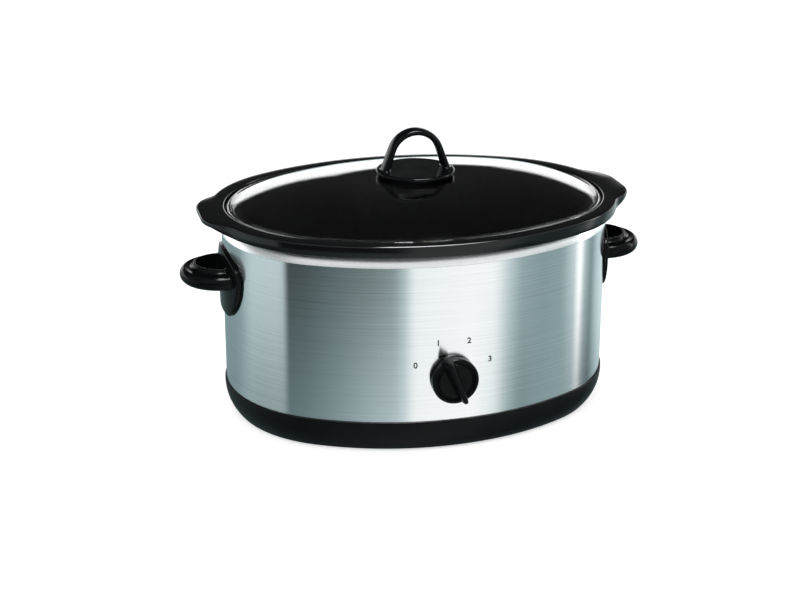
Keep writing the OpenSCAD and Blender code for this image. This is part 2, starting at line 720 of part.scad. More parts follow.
// ------------------------------------------------------------------ drawing
// Moves the body back, so that the origin is under the middle of the whole
// cooker: the knob reaches further forward than the rim reaches back
mid_y = (knob_back + knob_bar_h - rim_d) / 2;
module placed() translate([0, mid_y, 0]) children();

base_skirt();
bottom_cover();
rubber_feet();
cover_screws();
cord_gland();
steel_wrap();
heating_well();
band_heater();
heater_strap();
strap_screw();
heat_shield();
tie_bolt();
tie_sleeves();
tie_nut();
thermal_fuse();
fuse_clip();
lead_wires();
switch_plate();
rotary_switch();
switch_nut();
left_handle();
right_handle();
handle_backplates();
handle_screws();
switch_shaft();
knob();
knob_clip();
crock();
lid_glass();
lid_handle();
lid_gasket();
lid_screw();
lid_washer();
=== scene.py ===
"""Dresses the slow cooker's CAD frame for rendering and sets its studio.

The cooker is an oval: every swept piece follows the same four-centred oval as the solids do.
Each sub-assembly is a class that builds its own meshes, and each finish is a small frozen class.
Lengths are metres, +Z is up, the long axis is X and the control knob faces -Y.
"""

import json
import logging
import math
from dataclasses import dataclass
from enum import Enum
from typing import Any, Callable, Optional, Sequence

import bmesh
import bpy
from mathutils import Matrix, Quaternion, Vector

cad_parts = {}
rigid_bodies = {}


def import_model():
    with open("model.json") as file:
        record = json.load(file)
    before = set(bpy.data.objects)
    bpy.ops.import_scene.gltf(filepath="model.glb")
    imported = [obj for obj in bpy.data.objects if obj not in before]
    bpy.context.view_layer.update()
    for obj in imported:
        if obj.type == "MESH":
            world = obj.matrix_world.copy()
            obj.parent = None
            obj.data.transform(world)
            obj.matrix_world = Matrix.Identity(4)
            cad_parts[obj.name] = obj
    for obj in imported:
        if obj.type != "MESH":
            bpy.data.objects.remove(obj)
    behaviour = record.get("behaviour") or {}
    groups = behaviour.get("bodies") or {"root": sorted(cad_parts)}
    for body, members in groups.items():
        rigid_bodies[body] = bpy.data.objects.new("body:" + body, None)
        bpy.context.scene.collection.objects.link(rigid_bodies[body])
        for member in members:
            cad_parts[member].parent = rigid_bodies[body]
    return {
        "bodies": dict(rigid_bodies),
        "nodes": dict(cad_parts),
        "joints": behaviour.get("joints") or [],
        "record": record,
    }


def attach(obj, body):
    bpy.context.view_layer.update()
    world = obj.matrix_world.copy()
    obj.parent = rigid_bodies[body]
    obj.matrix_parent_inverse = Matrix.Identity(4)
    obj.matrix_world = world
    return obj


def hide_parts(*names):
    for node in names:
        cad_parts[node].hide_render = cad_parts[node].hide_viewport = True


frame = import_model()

log = logging.getLogger("slow_cooker")

Point2 = tuple[float, float]
Point3 = tuple[float, float, float]
Colour = tuple[float, float, float]
Socket = bpy.types.NodeSocket
Value = Any  # a constant, or the socket that an input is linked to
Edit = Callable[[bmesh.types.BMesh], None]

KNOB_Z = 0.0715  # height of the control's axis
SEAT_Z = 0.193  # height of the crock's ledge, which carries the lid
MERGE = 1e-6  # points nearer than this are one
UPRIGHT = Vector((0, 0, 1))
ALONG_Y = Vector((0, 1, 0))


class Body(Enum):
    """The CAD bodies that a piece can ride on."""

    BASE = "base"
    CONTROL = "control"
    CROCK = "crock"
    LID = "lid"


class Slot(Enum):
    """The record's material slots, and the ink that only the dial wears."""

    SKIRT = "skirt_plastic"
    WRAP = "brushed_wrap"
    WELL = "bright_well"
    HANDLE = "handle_plastic"
    KNOB = "knob_plastic"
    GRIP = "lid_handle_plastic"
    CROCK = "glazed_stoneware"
    GLASS = "clear_glass"
    GASKET = "gasket_rubber"
    FEET = "feet_rubber"
    GLAND = "gland_plastic"
    PLATED = "plated_steel"
    SCREW = "screw_steel"
    MICA = "heater_mica"
    FUSE = "fuse_brass"
    LEAD = "lead_insulation"
    SWITCH = "switch_resin"
    INK = "dial_ink"


# --------------------------------------------------------------------------- node helpers


class NodeSheet:
    """A thin writer for a shader or geometry node tree."""

    def __init__(self, tree: bpy.types.NodeTree) -> None:
        """Takes the tree that nodes are added to.

        Args:
            tree: an empty or partly filled node tree.
        """
        self.tree = tree

    def add(self, kind: str, inputs: Optional[dict[Any, Value]] = None,
            **props: Any) -> bpy.types.Node:
        """Adds a node, sets its properties and fills or links its inputs.

        Args:
            kind: the node's type name.
            inputs: input name or index to a constant or to an output socket.
            **props: node properties such as operation or mode.

        Returns:
            The new node.
        """
        node = self.tree.nodes.new(kind)
        for key, value in props.items():
            setattr(node, key, value)
        for key, value in (inputs or {}).items():
            if isinstance(value, bpy.types.NodeSocket):
                self.tree.links.new(value, node.inputs[key])
            else:
                node.inputs[key].default_value = value
        return node

    def math(self, operation: str, a: Value, b: Value = 0.0, clamp: bool = False) -> Socket:
        """Adds a Math node.

        Args:
            operation: what it works out.
            a: its first value or socket.
            b: its second value or socket.
            clamp: whether the result stays between 0 and 1.

        Returns:
            Its output socket.
        """
        node = self.add("ShaderNodeMath", {0: a, 1: b}, operation=operation, use_clamp=clamp)
        return node.outputs[0]

    def span(self, value: Socket, lo: float, hi: float, to_lo: float = 0.0,
             to_hi: float = 1.0) -> Socket:
        """Maps a value from one range to another.

        Args:
            value: the socket to map.
            lo: where its range starts.
            hi: where its range ends.
            to_lo: the result at and before the start.
            to_hi: the result at and after the end.

        Returns:
            The result's socket.
        """
        node = self.add("ShaderNodeMapRange", {"Value": value, "From Min": lo, "From Max": hi,
                                               "To Min": to_lo, "To Max": to_hi})
        return node.outputs[0]

    def ramp(self, value: Socket, stops: Sequence[tuple[float, Colour]]) -> Socket:
        """Adds a Color Ramp.

        Args:
            value: the socket that it reads, from 0 to 1.
            stops: (place, colour) of each stop, in order.

        Returns:
            Its colour socket.
        """
        node = self.add("ShaderNodeValToRGB", {"Fac": value})
        ramp = node.color_ramp
        while len(ramp.elements) > 1:
            ramp.elements.remove(ramp.elements[-1])
        ramp.elements[0].position = stops[0][0]
        ramp.elements[0].color = (*stops[0][1], 1.0)
        for place, colour in stops[1:]:
            ramp.elements.new(place).color = (*colour, 1.0)
        return node.outputs["Color"]

    def mix(self, share: Socket, low: Value, high: Value) -> Socket:
        """Mixes two colours by a share and returns the output socket."""
        node = self.add("ShaderNodeMix", {"Factor": share, 6: low, 7: high}, data_type="RGBA")
        return node.outputs[2]

    def mask(self, group: bpy.types.NodeTree, **inputs: float) -> Socket:
        """Places a mask group with its own values and returns its Mask socket."""
        node = self.add("ShaderNodeGroup", inputs, node_tree=group)
        return node.outputs["Mask"]


class MaskGroups:
    """Shader node groups that several finishes share. They put out masks only."""

    def __init__(self) -> None:
        """Builds each group once."""
        self.streaks = self._streaks()
        self.mottle = self._mottle()
        self.grain = self._grain()
        self.weave = self._weave()

    @staticmethod
    def _group(name: str, **inputs: float) -> tuple[bpy.types.NodeTree, NodeSheet, Any]:
        """Starts a group with the given inputs and one Mask output.

        Args:
            name: the group's name.
            **inputs: each input's name and default.

        Returns:
            The tree, its writer and the outputs of the group's input node.
        """
        tree = bpy.data.node_groups.new(name, "ShaderNodeTree")
        for socket, default in inputs.items():
            made = tree.interface.new_socket(socket, in_out="INPUT",
                                             socket_type="NodeSocketFloat")
            made.default_value = default
        tree.interface.new_socket("Mask", in_out="OUTPUT", socket_type="NodeSocketFloat")
        sheet = NodeSheet(tree)
        return tree, sheet, sheet.add("NodeGroupInput").outputs

    def _streaks(self) -> bpy.types.NodeTree:
        """Fine lines that run level round a piece, as brushing or rolling leaves them.

        Returns:
            The group: it stretches a noise so that it changes fast with height only.
        """
        tree, sheet, start = self._group("level_streaks", Fineness=1800.0, Length=12.0)
        where = sheet.add("ShaderNodeTexCoord").outputs["Object"]
        parts = sheet.add("ShaderNodeSeparateXYZ", {0: where})
        level = [sheet.math("MULTIPLY", parts.outputs[i], start["Length"]) for i in (0, 1)]
        height = sheet.math("MULTIPLY", parts.outputs[2], start["Fineness"])
        place = sheet.add("ShaderNodeCombineXYZ", {0: level[0], 1: level[1], 2: height})
        noise = sheet.add("ShaderNodeTexNoise", {"Vector": place.outputs[0], "Scale": 1.0,
                                                 "Detail": 3.0, "Roughness": 0.65})
        sheet.add("NodeGroupOutput", {"Mask": noise.outputs["Fac"]})
        return tree

    def _mottle(self) -> bpy.types.NodeTree:
        """A soft uneven field, as handling and moulding leave on a surface.

        Returns:
            The group: two noises of different size, added.
        """
        tree, sheet, start = self._group("soft_mottle", Scale=40.0, Contrast=1.0)
        where = sheet.add("ShaderNodeTexCoord").outputs["Object"]
        near = sheet.add("ShaderNodeTexNoise", {"Vector": where, "Scale": start["Scale"],
                                                "Detail": 4.0, "Roughness": 0.55})
        wide = sheet.math("MULTIPLY", start["Scale"], 0.23)
        far = sheet.add("ShaderNodeTexNoise", {"Vector": where, "Scale": wide, "Detail": 2.0})
        both = sheet.math("ADD", near.outputs["Fac"], far.outputs["Fac"])
        centred = sheet.math("SUBTRACT", both, 1.0)
        out = sheet.math("MULTIPLY", centred, start["Contrast"])
        mask = sheet.math("ADD", out, 0.5, clamp=True)
        sheet.add("NodeGroupOutput", {"Mask": mask})
        return tree

    def _grain(self) -> bpy.types.NodeTree:
        """A fine even grain, as a mould or a glaze leaves.

        Returns:
            The group: one noise.
        """
        tree, sheet, start = self._group("fine_grain", Scale=900.0)
        where = sheet.add("ShaderNodeTexCoord").outputs["Object"]
        noise = sheet.add("ShaderNodeTexNoise", {"Vector": where, "Scale": start["Scale"],
                                                 "Detail": 3.0})
        sheet.add("NodeGroupOutput", {"Mask": noise.outputs["Fac"]})
        return tree

    def _weave(self) -> bpy.types.NodeTree:
        """Two sets of fine threads that cross.

        Returns:
            The group: the higher of two waves that run across one another.
        """
        tree, sheet, start = self._group("crossed_threads", Scale=300.0)
        where = sheet.add("ShaderNodeTexCoord").outputs["Object"]
        threads = []
        for turn in (-0.8, 0.8):
            placed = sheet.add("ShaderNodeMapping", {"Vector": where, "Rotation": (turn, turn, 0)})
            wave = sheet.add("ShaderNodeTexWave", {
                "Vector": placed.outputs[0], "Scale": start["Scale"], "Distortion": 0.6})
            threads.append(wave.outputs["Fac"])
        sheet.add("NodeGroupOutput", {"Mask": sheet.math("MAXIMUM", *threads)})
        return tree


# --------------------------------------------------------------------------- finishes


@dataclass(frozen=True)
class Finish:
    """A procedural finish: two close tones laid over by a mask, with grain in the surface.

    Attributes:
        slot: what it is for, whose text is the material's name.
        dark: the darker tone, linear.
        light: the lighter tone, linear.
        rough: roughness at the mask's two ends.
        metallic: 1 for bare metal.
        specular: the shader's specular level.
        scale: size of the mottle, in features per metre.
        grain: size of the fine grain, in features per metre.
        grain_depth: depth of the grain, metres.
    """

    slot: Slot
    dark: Colour
    light: Colour
    rough: Point2 = (0.3, 0.4)
    metallic: float = 0.0
    specular: float = 0.5
    scale: float = 60.0
    grain: float = 900.0
    grain_depth: float = 0.00002

    def build(self, masks: MaskGroups) -> bpy.types.Material:
        """Makes the material.

        Args:
            masks: the shared groups.

        Returns:
            The finished material.
        """
        material = bpy.data.materials.new(self.slot.value)
        material.use_nodes = True
        material.node_tree.nodes.clear()
        sheet = NodeSheet(material.node_tree)
        shader = sheet.add("ShaderNodeBsdfPrincipled", {
            "Metallic": self.metallic, "Specular IOR Level": self.specular})
        mask = self.mask(sheet, masks)
        tone = sheet.mix(mask, (*self.dark, 1.0), (*self.light, 1.0))
        sheet.tree.links.new(tone, shader.inputs["Base Color"])
        rough = sheet.span(mask, 0.0, 1.0, *self.rough)
        sheet.tree.links.new(rough, shader.inputs["Roughness"])
        self.surface(sheet, shader, masks)
        sheet.add("ShaderNodeOutputMaterial", {"Surface": shader.outputs[0]})
        return material

    def mask(self, sheet: NodeSheet, masks: MaskGroups) -> Socket:
        """Puts down the mask that mixes the tones, and returns its socket."""
        return sheet.mask(masks.mottle, Scale=self.scale)

    def surface(self, sheet: NodeSheet, shader: bpy.types.Node, masks: MaskGroups) -> None:
        """Adds the fine grain that feeds the shader's normal."""
        self.emboss(sheet, shader, sheet.mask(masks.grain, Scale=self.grain))

    def emboss(self, sheet: NodeSheet, shader: bpy.types.Node, height: Socket) -> None:
        """Feeds a height to the shader's normal.

        Args:
            sheet: the material's nodes.
            shader: its Principled shader.
            height: the socket that says how high the surface is, from 0 to 1.
        """
        bump = sheet.add("ShaderNodeBump", {"Height": height, "Strength": 1.0,
                                            "Distance": self.grain_depth})
        sheet.tree.links.new(bump.outputs[0], shader.inputs["Normal"])


@dataclass(frozen=True)
class LevelMetal(Finish):
    """Sheet metal with fine lines that run level round it.

    Attributes:
        fineness: lines per metre of height.
        run: how fast a line changes along its length, per metre.
        anisotropy: how far the lines stretch a highlight.
    """

    fineness: float = 1500.0
    run: float = 14.0
    anisotropy: float = 0.8

    def mask(self, sheet: NodeSheet, masks: MaskGroups) -> Socket:
        """Puts down the streaks, and returns their socket."""
        streaks = sheet.mask(masks.streaks, Fineness=self.fineness, Length=self.run)
        return sheet.span(streaks, 0.3, 0.7)

    def surface(self, sheet: NodeSheet, shader: bpy.types.Node, masks: MaskGroups) -> None:
        """Stretches the highlight across the lines and cuts them into the surface.

        Args:
            sheet: the material's nodes.
            shader: its Principled shader.
            masks: the shared groups.
        """
        shader.inputs["Anisotropic"].default_value = self.anisotropy
        shader.inputs["Anisotropic Rotation"].default_value = 0.25
        tangent = sheet.add("ShaderNodeTangent", direction_type="RADIAL", axis="Z")
        sheet.tree.links.new(tangent.outputs[0], shader.inputs["Tangent"])
        self.emboss(sheet, shader, self.mask(sheet, masks))


@dataclass(frozen=True)
class ClearGlass(Finish):
    """Clear toughened glass, faintly cooler and rougher where it has been wiped.

    Attributes:
        ior: refractive index.
    """

    ior: float = 1.5

    def surface(self, sheet: NodeSheet, shader: bpy.types.Node, masks: MaskGroups) -> None:
        """Lets light through and adds a slow waviness.

        Args:
            sheet: the material's nodes.
            shader: its Principled shader.
            masks: the shared groups.
        """
        shader.inputs["Transmission Weight"].default_value = 1.0
        shader.inputs["IOR"].default_value = self.ior
        super().surface(sheet, shader, masks)


@dataclass(frozen=True)
class Woven(Finish):
    """Braided sleeve or woven band: crossing fine threads."""

    def mask(self, sheet: NodeSheet, masks: MaskGroups) -> Socket:
        """Puts down the crossed threads, and returns their socket."""
        return sheet.mask(masks.weave, Scale=self.scale)


FINISHES: tuple[Finish, ...] = (
    Finish(Slot.SKIRT, (0.0022, 0.0026, 0.0029), (0.0045, 0.0052, 0.0057), (0.36, 0.46),
           specular=0.10, grain=1600.0, grain_depth=0.00003),
    LevelMetal(Slot.WRAP, (0.72, 0.73, 0.736), (0.89, 0.90, 0.905), (0.14, 0.18),
               metallic=1.0, fineness=3600.0, run=7.0, grain_depth=0.00000025,
               anisotropy=0.85),
    LevelMetal(Slot.WELL, (0.80, 0.82, 0.83), (0.90, 0.92, 0.925), (0.24, 0.32),
               metallic=1.0, fineness=900.0, grain_depth=0.000001, anisotropy=0.4),
    Finish(Slot.HANDLE, (0.0022, 0.0028, 0.003), (0.004, 0.0048, 0.005), (0.14, 0.20),
           specular=0.07, scale=30.0, grain=500.0, grain_depth=0.000004),
    Finish(Slot.KNOB, (0.0022, 0.0028, 0.003), (0.004, 0.0048, 0.005), (0.12, 0.18),
           specular=0.07, scale=60.0, grain=700.0, grain_depth=0.000003),
    Finish(Slot.GRIP, (0.0022, 0.0028, 0.0032), (0.004, 0.0050, 0.0056),
           (0.07, 0.12), specular=0.09, scale=35.0, grain=500.0,
           grain_depth=0.000003),
    Finish(Slot.CROCK, (0.0030, 0.0036, 0.0038), (0.006, 0.0068, 0.0072), (0.05, 0.11),
           specular=0.3, scale=18.0, grain=140.0, grain_depth=0.00001),
    ClearGlass(Slot.GLASS, (0.955, 0.98, 0.975), (0.99, 1.0, 0.995), (0.0, 0.015),
               scale=12.0, grain=14.0, grain_depth=0.00002),
    Finish(Slot.GASKET, (0.022, 0.022, 0.023), (0.04, 0.04, 0.042), (0.6, 0.75)),
    Finish(Slot.FEET, (0.016, 0.016, 0.017), (0.034, 0.034, 0.035), (0.6, 0.8)),
    Finish(Slot.GLAND, (0.010, 0.010, 0.011), (0.018, 0.018, 0.019), (0.4, 0.5)),
    Finish(Slot.PLATED, (0.42, 0.43, 0.44), (0.62, 0.63, 0.64), (0.28, 0.45),
           metallic=1.0, scale=90.0, grain=1200.0, grain_depth=0.000008),
    Finish(Slot.SCREW, (0.48, 0.49, 0.50), (0.66, 0.67, 0.68), (0.2, 0.34),
           metallic=1.0, scale=300.0, grain=2500.0, grain_depth=0.000005),
    Woven(Slot.MICA, (0.25, 0.18, 0.09), (0.48, 0.38, 0.22), (0.6, 0.8), scale=260.0,
          grain=1500.0),
    Finish(Slot.FUSE, (0.40, 0.29, 0.11), (0.58, 0.45, 0.20), (0.25, 0.4), metallic=1.0,
           scale=300.0),
    Woven(Slot.LEAD, (0.50, 0.46, 0.38), (0.80, 0.77, 0.68), (0.55, 0.7),
          scale=420.0, grain=2500.0),
    Finish(Slot.SWITCH, (0.11, 0.045, 0.018), (0.22, 0.095, 0.04), (0.4, 0.55),
           scale=140.0),
    Finish(Slot.INK, (0.010, 0.011, 0.012), (0.022, 0.023, 0.024), (0.45, 0.6),
           scale=900.0, grain=3000.0, grain_depth=0.000004),
)


# --------------------------------------------------------------------------- mesh helpers


def arc(centre: Point2, radius: float, start: float, end: float, steps: int) -> list[Point2]:
    """Points on an arc in a profile.

    Args:
        centre: the arc's centre.
        radius: its radius.
        start: first angle, degrees.
        end: last angle, degrees.
        steps: number of straight pieces.

    Returns:
        steps + 1 points from start to end.
    """
    angles = (math.radians(start + (end - start) * i / steps) for i in range(steps + 1))
    return [(centre[0] + radius * math.cos(a), centre[1] + radius * math.sin(a)) for a in angles]


def new_object(name: str, mesh: bpy.types.Mesh,
               material: Optional[bpy.types.Material] = None) -> bpy.types.Object:
    """Makes an object from a mesh, links it and gives it one material.

    Args:
        name: the piece's name.
        mesh: its mesh, already in the frame.
        material: the material for all its faces.

    Returns:
        The object, at the origin.
    """
    piece = bpy.data.objects.new(name, mesh)
    bpy.context.scene.collection.objects.link(piece)
    if material is not None:
        paint(mesh, material)
    return piece


def paint(mesh: bpy.types.Mesh, material: bpy.types.Material) -> None:
    """Gives a mesh one material."""
    mesh.materials.clear()
    mesh.materials.append(material)


def fill_inputs(nodes: bpy.types.NodesModifier, values: dict[str, Any]) -> None:
    """Sets a modifier's inputs by their sockets' identifiers.

    Args:
        nodes: the modifier, whose tree is set.
        values: input name to value.
    """
    for item in nodes.node_group.interface.items_tree:
        if item.item_type == "SOCKET" and item.name in values:
            nodes[item.identifier] = values[item.name]


def mesh_from(name: str, points: Sequence[Sequence[float]],
              faces: Sequence[Sequence[int]]) -> bpy.types.Mesh:
    """Makes a mesh from points and faces.

    Args:
        name: the mesh's name.
        points: its points.
        faces: the points of each face, by number.

    Returns:
        The mesh.
    """
    mesh = bpy.data.meshes.new(name)
    mesh.from_pydata([tuple(p) for p in points], [], [tuple(f) for f in faces])
    return mesh


def loft(name: str, rings: Sequence[Sequence[Any]]) -> bpy.types.Mesh:
    """Skins a row of closed rings; tidy() closes its two ends.

    Args:
        name: the mesh's name.
        rings: rings of points, as many in each.

    Returns:
        The skin.
    """
    size = len(rings[0])
    faces = [(i * size + k, i * size + (k + 1) % size, (i + 1) * size + (k + 1) % size,
              (i + 1) * size + k) for i in range(len(rings) - 1) for k in range(size)]
    return mesh_from(name, [point for ring in rings for point in ring], faces)


def turned(name: str, profile: Sequence[Point2], count: int) -> bpy.types.Mesh:
    """Turns a profile of (radius, height) about +Z.

    Args:
        name: the mesh's name.
        profile: the points to turn.
        count: number of steps round.

    Returns:
        The skin, whose doubles aren't merged yet.
    """
    angles = [2 * math.pi * k / count for k in range(count)]
    return loft(name, [[(radius * math.cos(a), radius * math.sin(a), z) for a in angles]
                       for radius, z in profile])


def as_mesh(work: bmesh.types.BMesh, mesh: bpy.types.Mesh) -> bpy.types.Mesh:
    """Writes a bmesh to a mesh and frees it.

    Args:
        work: the bmesh, which is used up.
        mesh: the mesh that takes its faces.

    Returns:
        The same mesh.
    """
    work.to_mesh(mesh)
    work.free()
    return mesh


def tidy(mesh: bpy.types.Mesh, sharp: float = 35.0, edit: Optional[Edit] = None) -> None:
    """Merges doubles, closes flat holes, points faces outwards and shades smooth.

    Args:
        mesh: the mesh, changed in place.
        sharp: edges that turn by more than this many degrees stay crisp.
        edit: a change made to the bmesh after merging and before holes are closed.
    """
    work = bmesh.new()
    work.from_mesh(mesh)
    bmesh.ops.remove_doubles(work, verts=work.verts, dist=MERGE)
    if edit:
        edit(work)
    open_edges = [e for e in work.edges if e.is_boundary]
    if open_edges:
        bmesh.ops.holes_fill(work, edges=open_edges, sides=0)
    bmesh.ops.recalc_face_normals(work, faces=work.faces)
    for face in work.faces:
        face.smooth = True
    as_mesh(work, mesh)
    mesh.set_sharp_from_angle(angle=math.radians(sharp))


def evaluated(piece: bpy.types.Object) -> None:
    """Replaces a piece's mesh by what its modifiers make of it, and removes them.

    Args:
        piece: the piece, changed in place; it keeps its first material.
    """
    material = piece.data.materials[0] if piece.data.materials else None
    graph = bpy.context.evaluated_depsgraph_get()
    mesh = bpy.data.meshes.new_from_object(piece.evaluated_get(graph))
    piece.modifiers.clear()
    piece.data = mesh
    if material is not None:
        paint(mesh, material)


def cut(piece: bpy.types.Object, centre: Vector, axis: Vector, radius: float,
        length: float) -> None:
    """Bores a round hole through a piece.

    Args:
        piece: the piece, changed in place.
        centre: middle of the bore.
        axis: its direction.
        radius: its radius.
        length: its whole length.
    """
    work = bmesh.new()
    turn = UPRIGHT.rotation_difference(axis).to_matrix().to_4x4()
    bmesh.ops.create_cone(work, cap_ends=True, segments=64, radius1=radius, radius2=radius,
                          depth=length, matrix=Matrix.Translation(centre) @ turn)
    subtract(piece, as_mesh(work, bpy.data.meshes.new("drill")))


def subtract(piece: bpy.types.Object, tool: bpy.types.Mesh) -> None:
    """Takes a closed mesh away from a piece.

    Args:
        piece: the piece, changed in place.
        tool: what is taken away.
    """
    cutter = new_object(tool.name, tool)
    bite = piece.modifiers.new("bite", "BOOLEAN")
    bite.operation, bite.solver, bite.object = "DIFFERENCE", "EXACT", cutter
    evaluated(piece)
    bpy.data.objects.remove(cutter)


@dataclass(frozen=True)
class Oval:
    """The cooker's four-centred oval.

    Attributes:
        end_x: distance from the middle to the centre of each round end.
        radius: radius of the steel body's round ends.
        mid_y: where the oval's long axis lies.
        join: angle at which an end arc meets a side arc, degrees.
        steps: points of each round end.
    """

    end_x: float = 0.062273
    radius: float = 0.117727
    mid_y: float = 0.0051
    join: float = 60.0
    steps: int = 96

    @property
    def side_centre(self) -> float:
        """Distance from the long axis to a side arc's centre."""
        return self.end_x * math.tan(math.radians(self.join))

    @property
    def side_radius(self) -> float:
        """Radius of the side arcs of the steel body."""
        return self.radius + self.end_x / math.cos(math.radians(self.join))

    @property
    def front(self) -> float:
        """Y of the steel body's front face in the middle."""
        return self.mid_y - (self.side_radius - self.side_centre)

    def stations(self) -> list[tuple[Vector, Vector]]:
        """Points round the steel body's outline.

        Returns:
            Each point with its outward normal.
        """
        rows: list[tuple[Vector, Vector]] = []
        side_steps = self.steps // 2
        for centre, radius, start, end, steps in (
                ((self.end_x, 0.0), self.radius, -self.join, self.join, self.steps),
                ((0.0, -self.side_centre), self.side_radius, self.join, 180 - self.join,
                 side_steps),
                ((-self.end_x, 0.0), self.radius, 180 - self.join, 180 + self.join, self.steps),
                ((0.0, self.side_centre), self.side_radius, 180 + self.join, 360 - self.join,
                 side_steps)):
            for i in range(steps):
                a = math.radians(start + (end - start) * i / steps)
                out = Vector((math.cos(a), math.sin(a), 0))
                rows.append((Vector((*centre, 0)) + radius * out + Vector((0, self.mid_y, 0)),
                             out))
        return rows

    def on_front(self, x: float, proud: float) -> float:
        """Y of a point at this x on the front face, this far proud of the steel."""
        reach = self.side_radius + proud
        return self.mid_y + self.side_centre - math.sqrt(reach * reach - x * x)


OVAL = Oval()


class OvalSweeper:
    """Geometry Nodes that sweep a profile round the four-centred oval."""

    def __init__(self, oval: Oval) -> None:
        """Builds the tree.

        Args:
            oval: the oval whose sizes fill the tree's inputs.
        """
        self.oval = oval
        self.tree = bpy.data.node_groups.new("oval_sweep", "GeometryNodeTree")
        face = self.tree.interface
        for name, kind in (("Profile", "NodeSocketGeometry"), ("End X", "NodeSocketFloat"),
                           ("Radius", "NodeSocketFloat"), ("Join", "NodeSocketFloat"),
                           ("Mid Y", "NodeSocketFloat"), ("Steps", "NodeSocketInt"),
                           ("Material", "NodeSocketMaterial")):
            face.new_socket(name, in_out="INPUT", socket_type=kind)
        face.new_socket("Solid", in_out="OUTPUT", socket_type="NodeSocketGeometry")
        self._write(NodeSheet(self.tree))

    def _write(self, sheet: NodeSheet) -> None:
        """Writes the nodes: four arcs, joined into one closed path, swept and finished.

        Args:
            sheet: the tree's writer.
        """
        start = sheet.add("NodeGroupInput").outputs
        end_x, radius, join = start["End X"], start["Radius"], start["Join"]
        tangent = sheet.math("TANGENT", join)
        cosine = sheet.math("COSINE", join)
        side_c = sheet.math("MULTIPLY", end_x, tangent)
        side_r = sheet.math("ADD", radius, sheet.math("DIVIDE", end_x, cosine))
        end_sweep = sheet.math("MULTIPLY", join, 2.0)
        side_sweep = sheet.math("SUBTRACT", math.pi, end_sweep)
        minus_join = sheet.math("MULTIPLY", join, -1.0)
        half_steps = sheet.math("DIVIDE", start["Steps"], 2.0)
        joined = sheet.add("GeometryNodeJoinGeometry")
        for x, y, r, first, sweep, steps in (
                (end_x, 0.0, radius, minus_join, end_sweep, start["Steps"]),
                (0.0, sheet.math("MULTIPLY", side_c, -1.0), side_r, join, side_sweep,
                 half_steps),
                (sheet.math("MULTIPLY", end_x, -1.0), 0.0, radius,
                 sheet.math("SUBTRACT", math.pi, join), end_sweep, start["Steps"]),
                (0.0, side_c, side_r, sheet.math("ADD", math.pi, join), side_sweep,
                 half_steps)):
            bow = sheet.add("GeometryNodeCurveArc", {
                "Resolution": sheet.math("ADD", steps, 1.0), "Radius": r, "Start Angle": first,
                "Sweep Angle": sweep}, mode="RADIUS")
            place = sheet.add("ShaderNodeCombineXYZ", {0: x, 1: y})
            moved = sheet.add("GeometryNodeTransform", {"Geometry": bow.outputs[0],
                                                        "Translation": place.outputs[0]})
            sheet.tree.links.new(moved.outputs[0], joined.inputs[0])
        wire = sheet.add("GeometryNodeCurveToMesh", {"Curve": joined.outputs[0]})
        closed = sheet.add("GeometryNodeMergeByDistance", {"Geometry": wire.outputs[0],
                                                           "Distance": 1e-5})
        path = sheet.add("GeometryNodeMeshToCurve", {0: closed.outputs[0]})
        level = sheet.add("GeometryNodeSetCurveNormal", {"Curve": path.outputs[0]},
                          mode="Z_UP")
        section = sheet.add("GeometryNodeMeshToCurve", {0: start["Profile"]})
        swept = sheet.add("GeometryNodeCurveToMesh", {"Curve": level.outputs[0],
                                                      "Profile Curve": section.outputs[0]})
        shift = sheet.add("ShaderNodeCombineXYZ", {1: start["Mid Y"]})
        placed = sheet.add("GeometryNodeTransform", {"Geometry": swept.outputs[0],
                                                     "Translation": shift.outputs[0]})
        real = sheet.add("GeometryNodeRealizeInstances", {"Geometry": placed.outputs[0]})
        dressed = sheet.add("GeometryNodeSetMaterial", {"Geometry": real.outputs[0],
                                                        "Material": start["Material"]})
        sheet.add("NodeGroupOutput", {"Solid": dressed.outputs[0]})

    def sweep(self, name: str, profile: Sequence[Point2], material: bpy.types.Material,
              closed: bool = True, sharp: float = 35.0,
              edit: Optional[Edit] = None) -> bpy.types.Object:
        """Sweeps a profile round the oval.

        Args:
            name: the piece's name.
            profile: points as (distance outside the steel body, height).
            material: the piece's material.
            closed: whether the profile's last point joins its first.
            sharp: edges that turn by more than this many degrees stay crisp.
            edit: a change made before flat holes are closed.

        Returns:
            The swept piece, with a plain mesh.
        """
        points = [(d, -z, 0.0) for d, z in profile]
        edges = [(i, i + 1) for i in range(len(points) - 1)]
        if closed:
            edges.append((len(points) - 1, 0))
        mesh = bpy.data.meshes.new(name)
        mesh.from_pydata(points, edges, [])
        piece = new_object(name, mesh)
        nodes = piece.modifiers.new("sweep", "NODES")
        nodes.node_group = self.tree
        fill_inputs(nodes, {
            "End X": self.oval.end_x, "Radius": self.oval.radius, "Mid Y": self.oval.mid_y,
            "Join": math.radians(self.oval.join), "Steps": self.oval.steps,
            "Material": material})
        evaluated(piece)
        paint(piece.data, material)
        tidy(piece.data, sharp=sharp, edit=edit)
        return piece


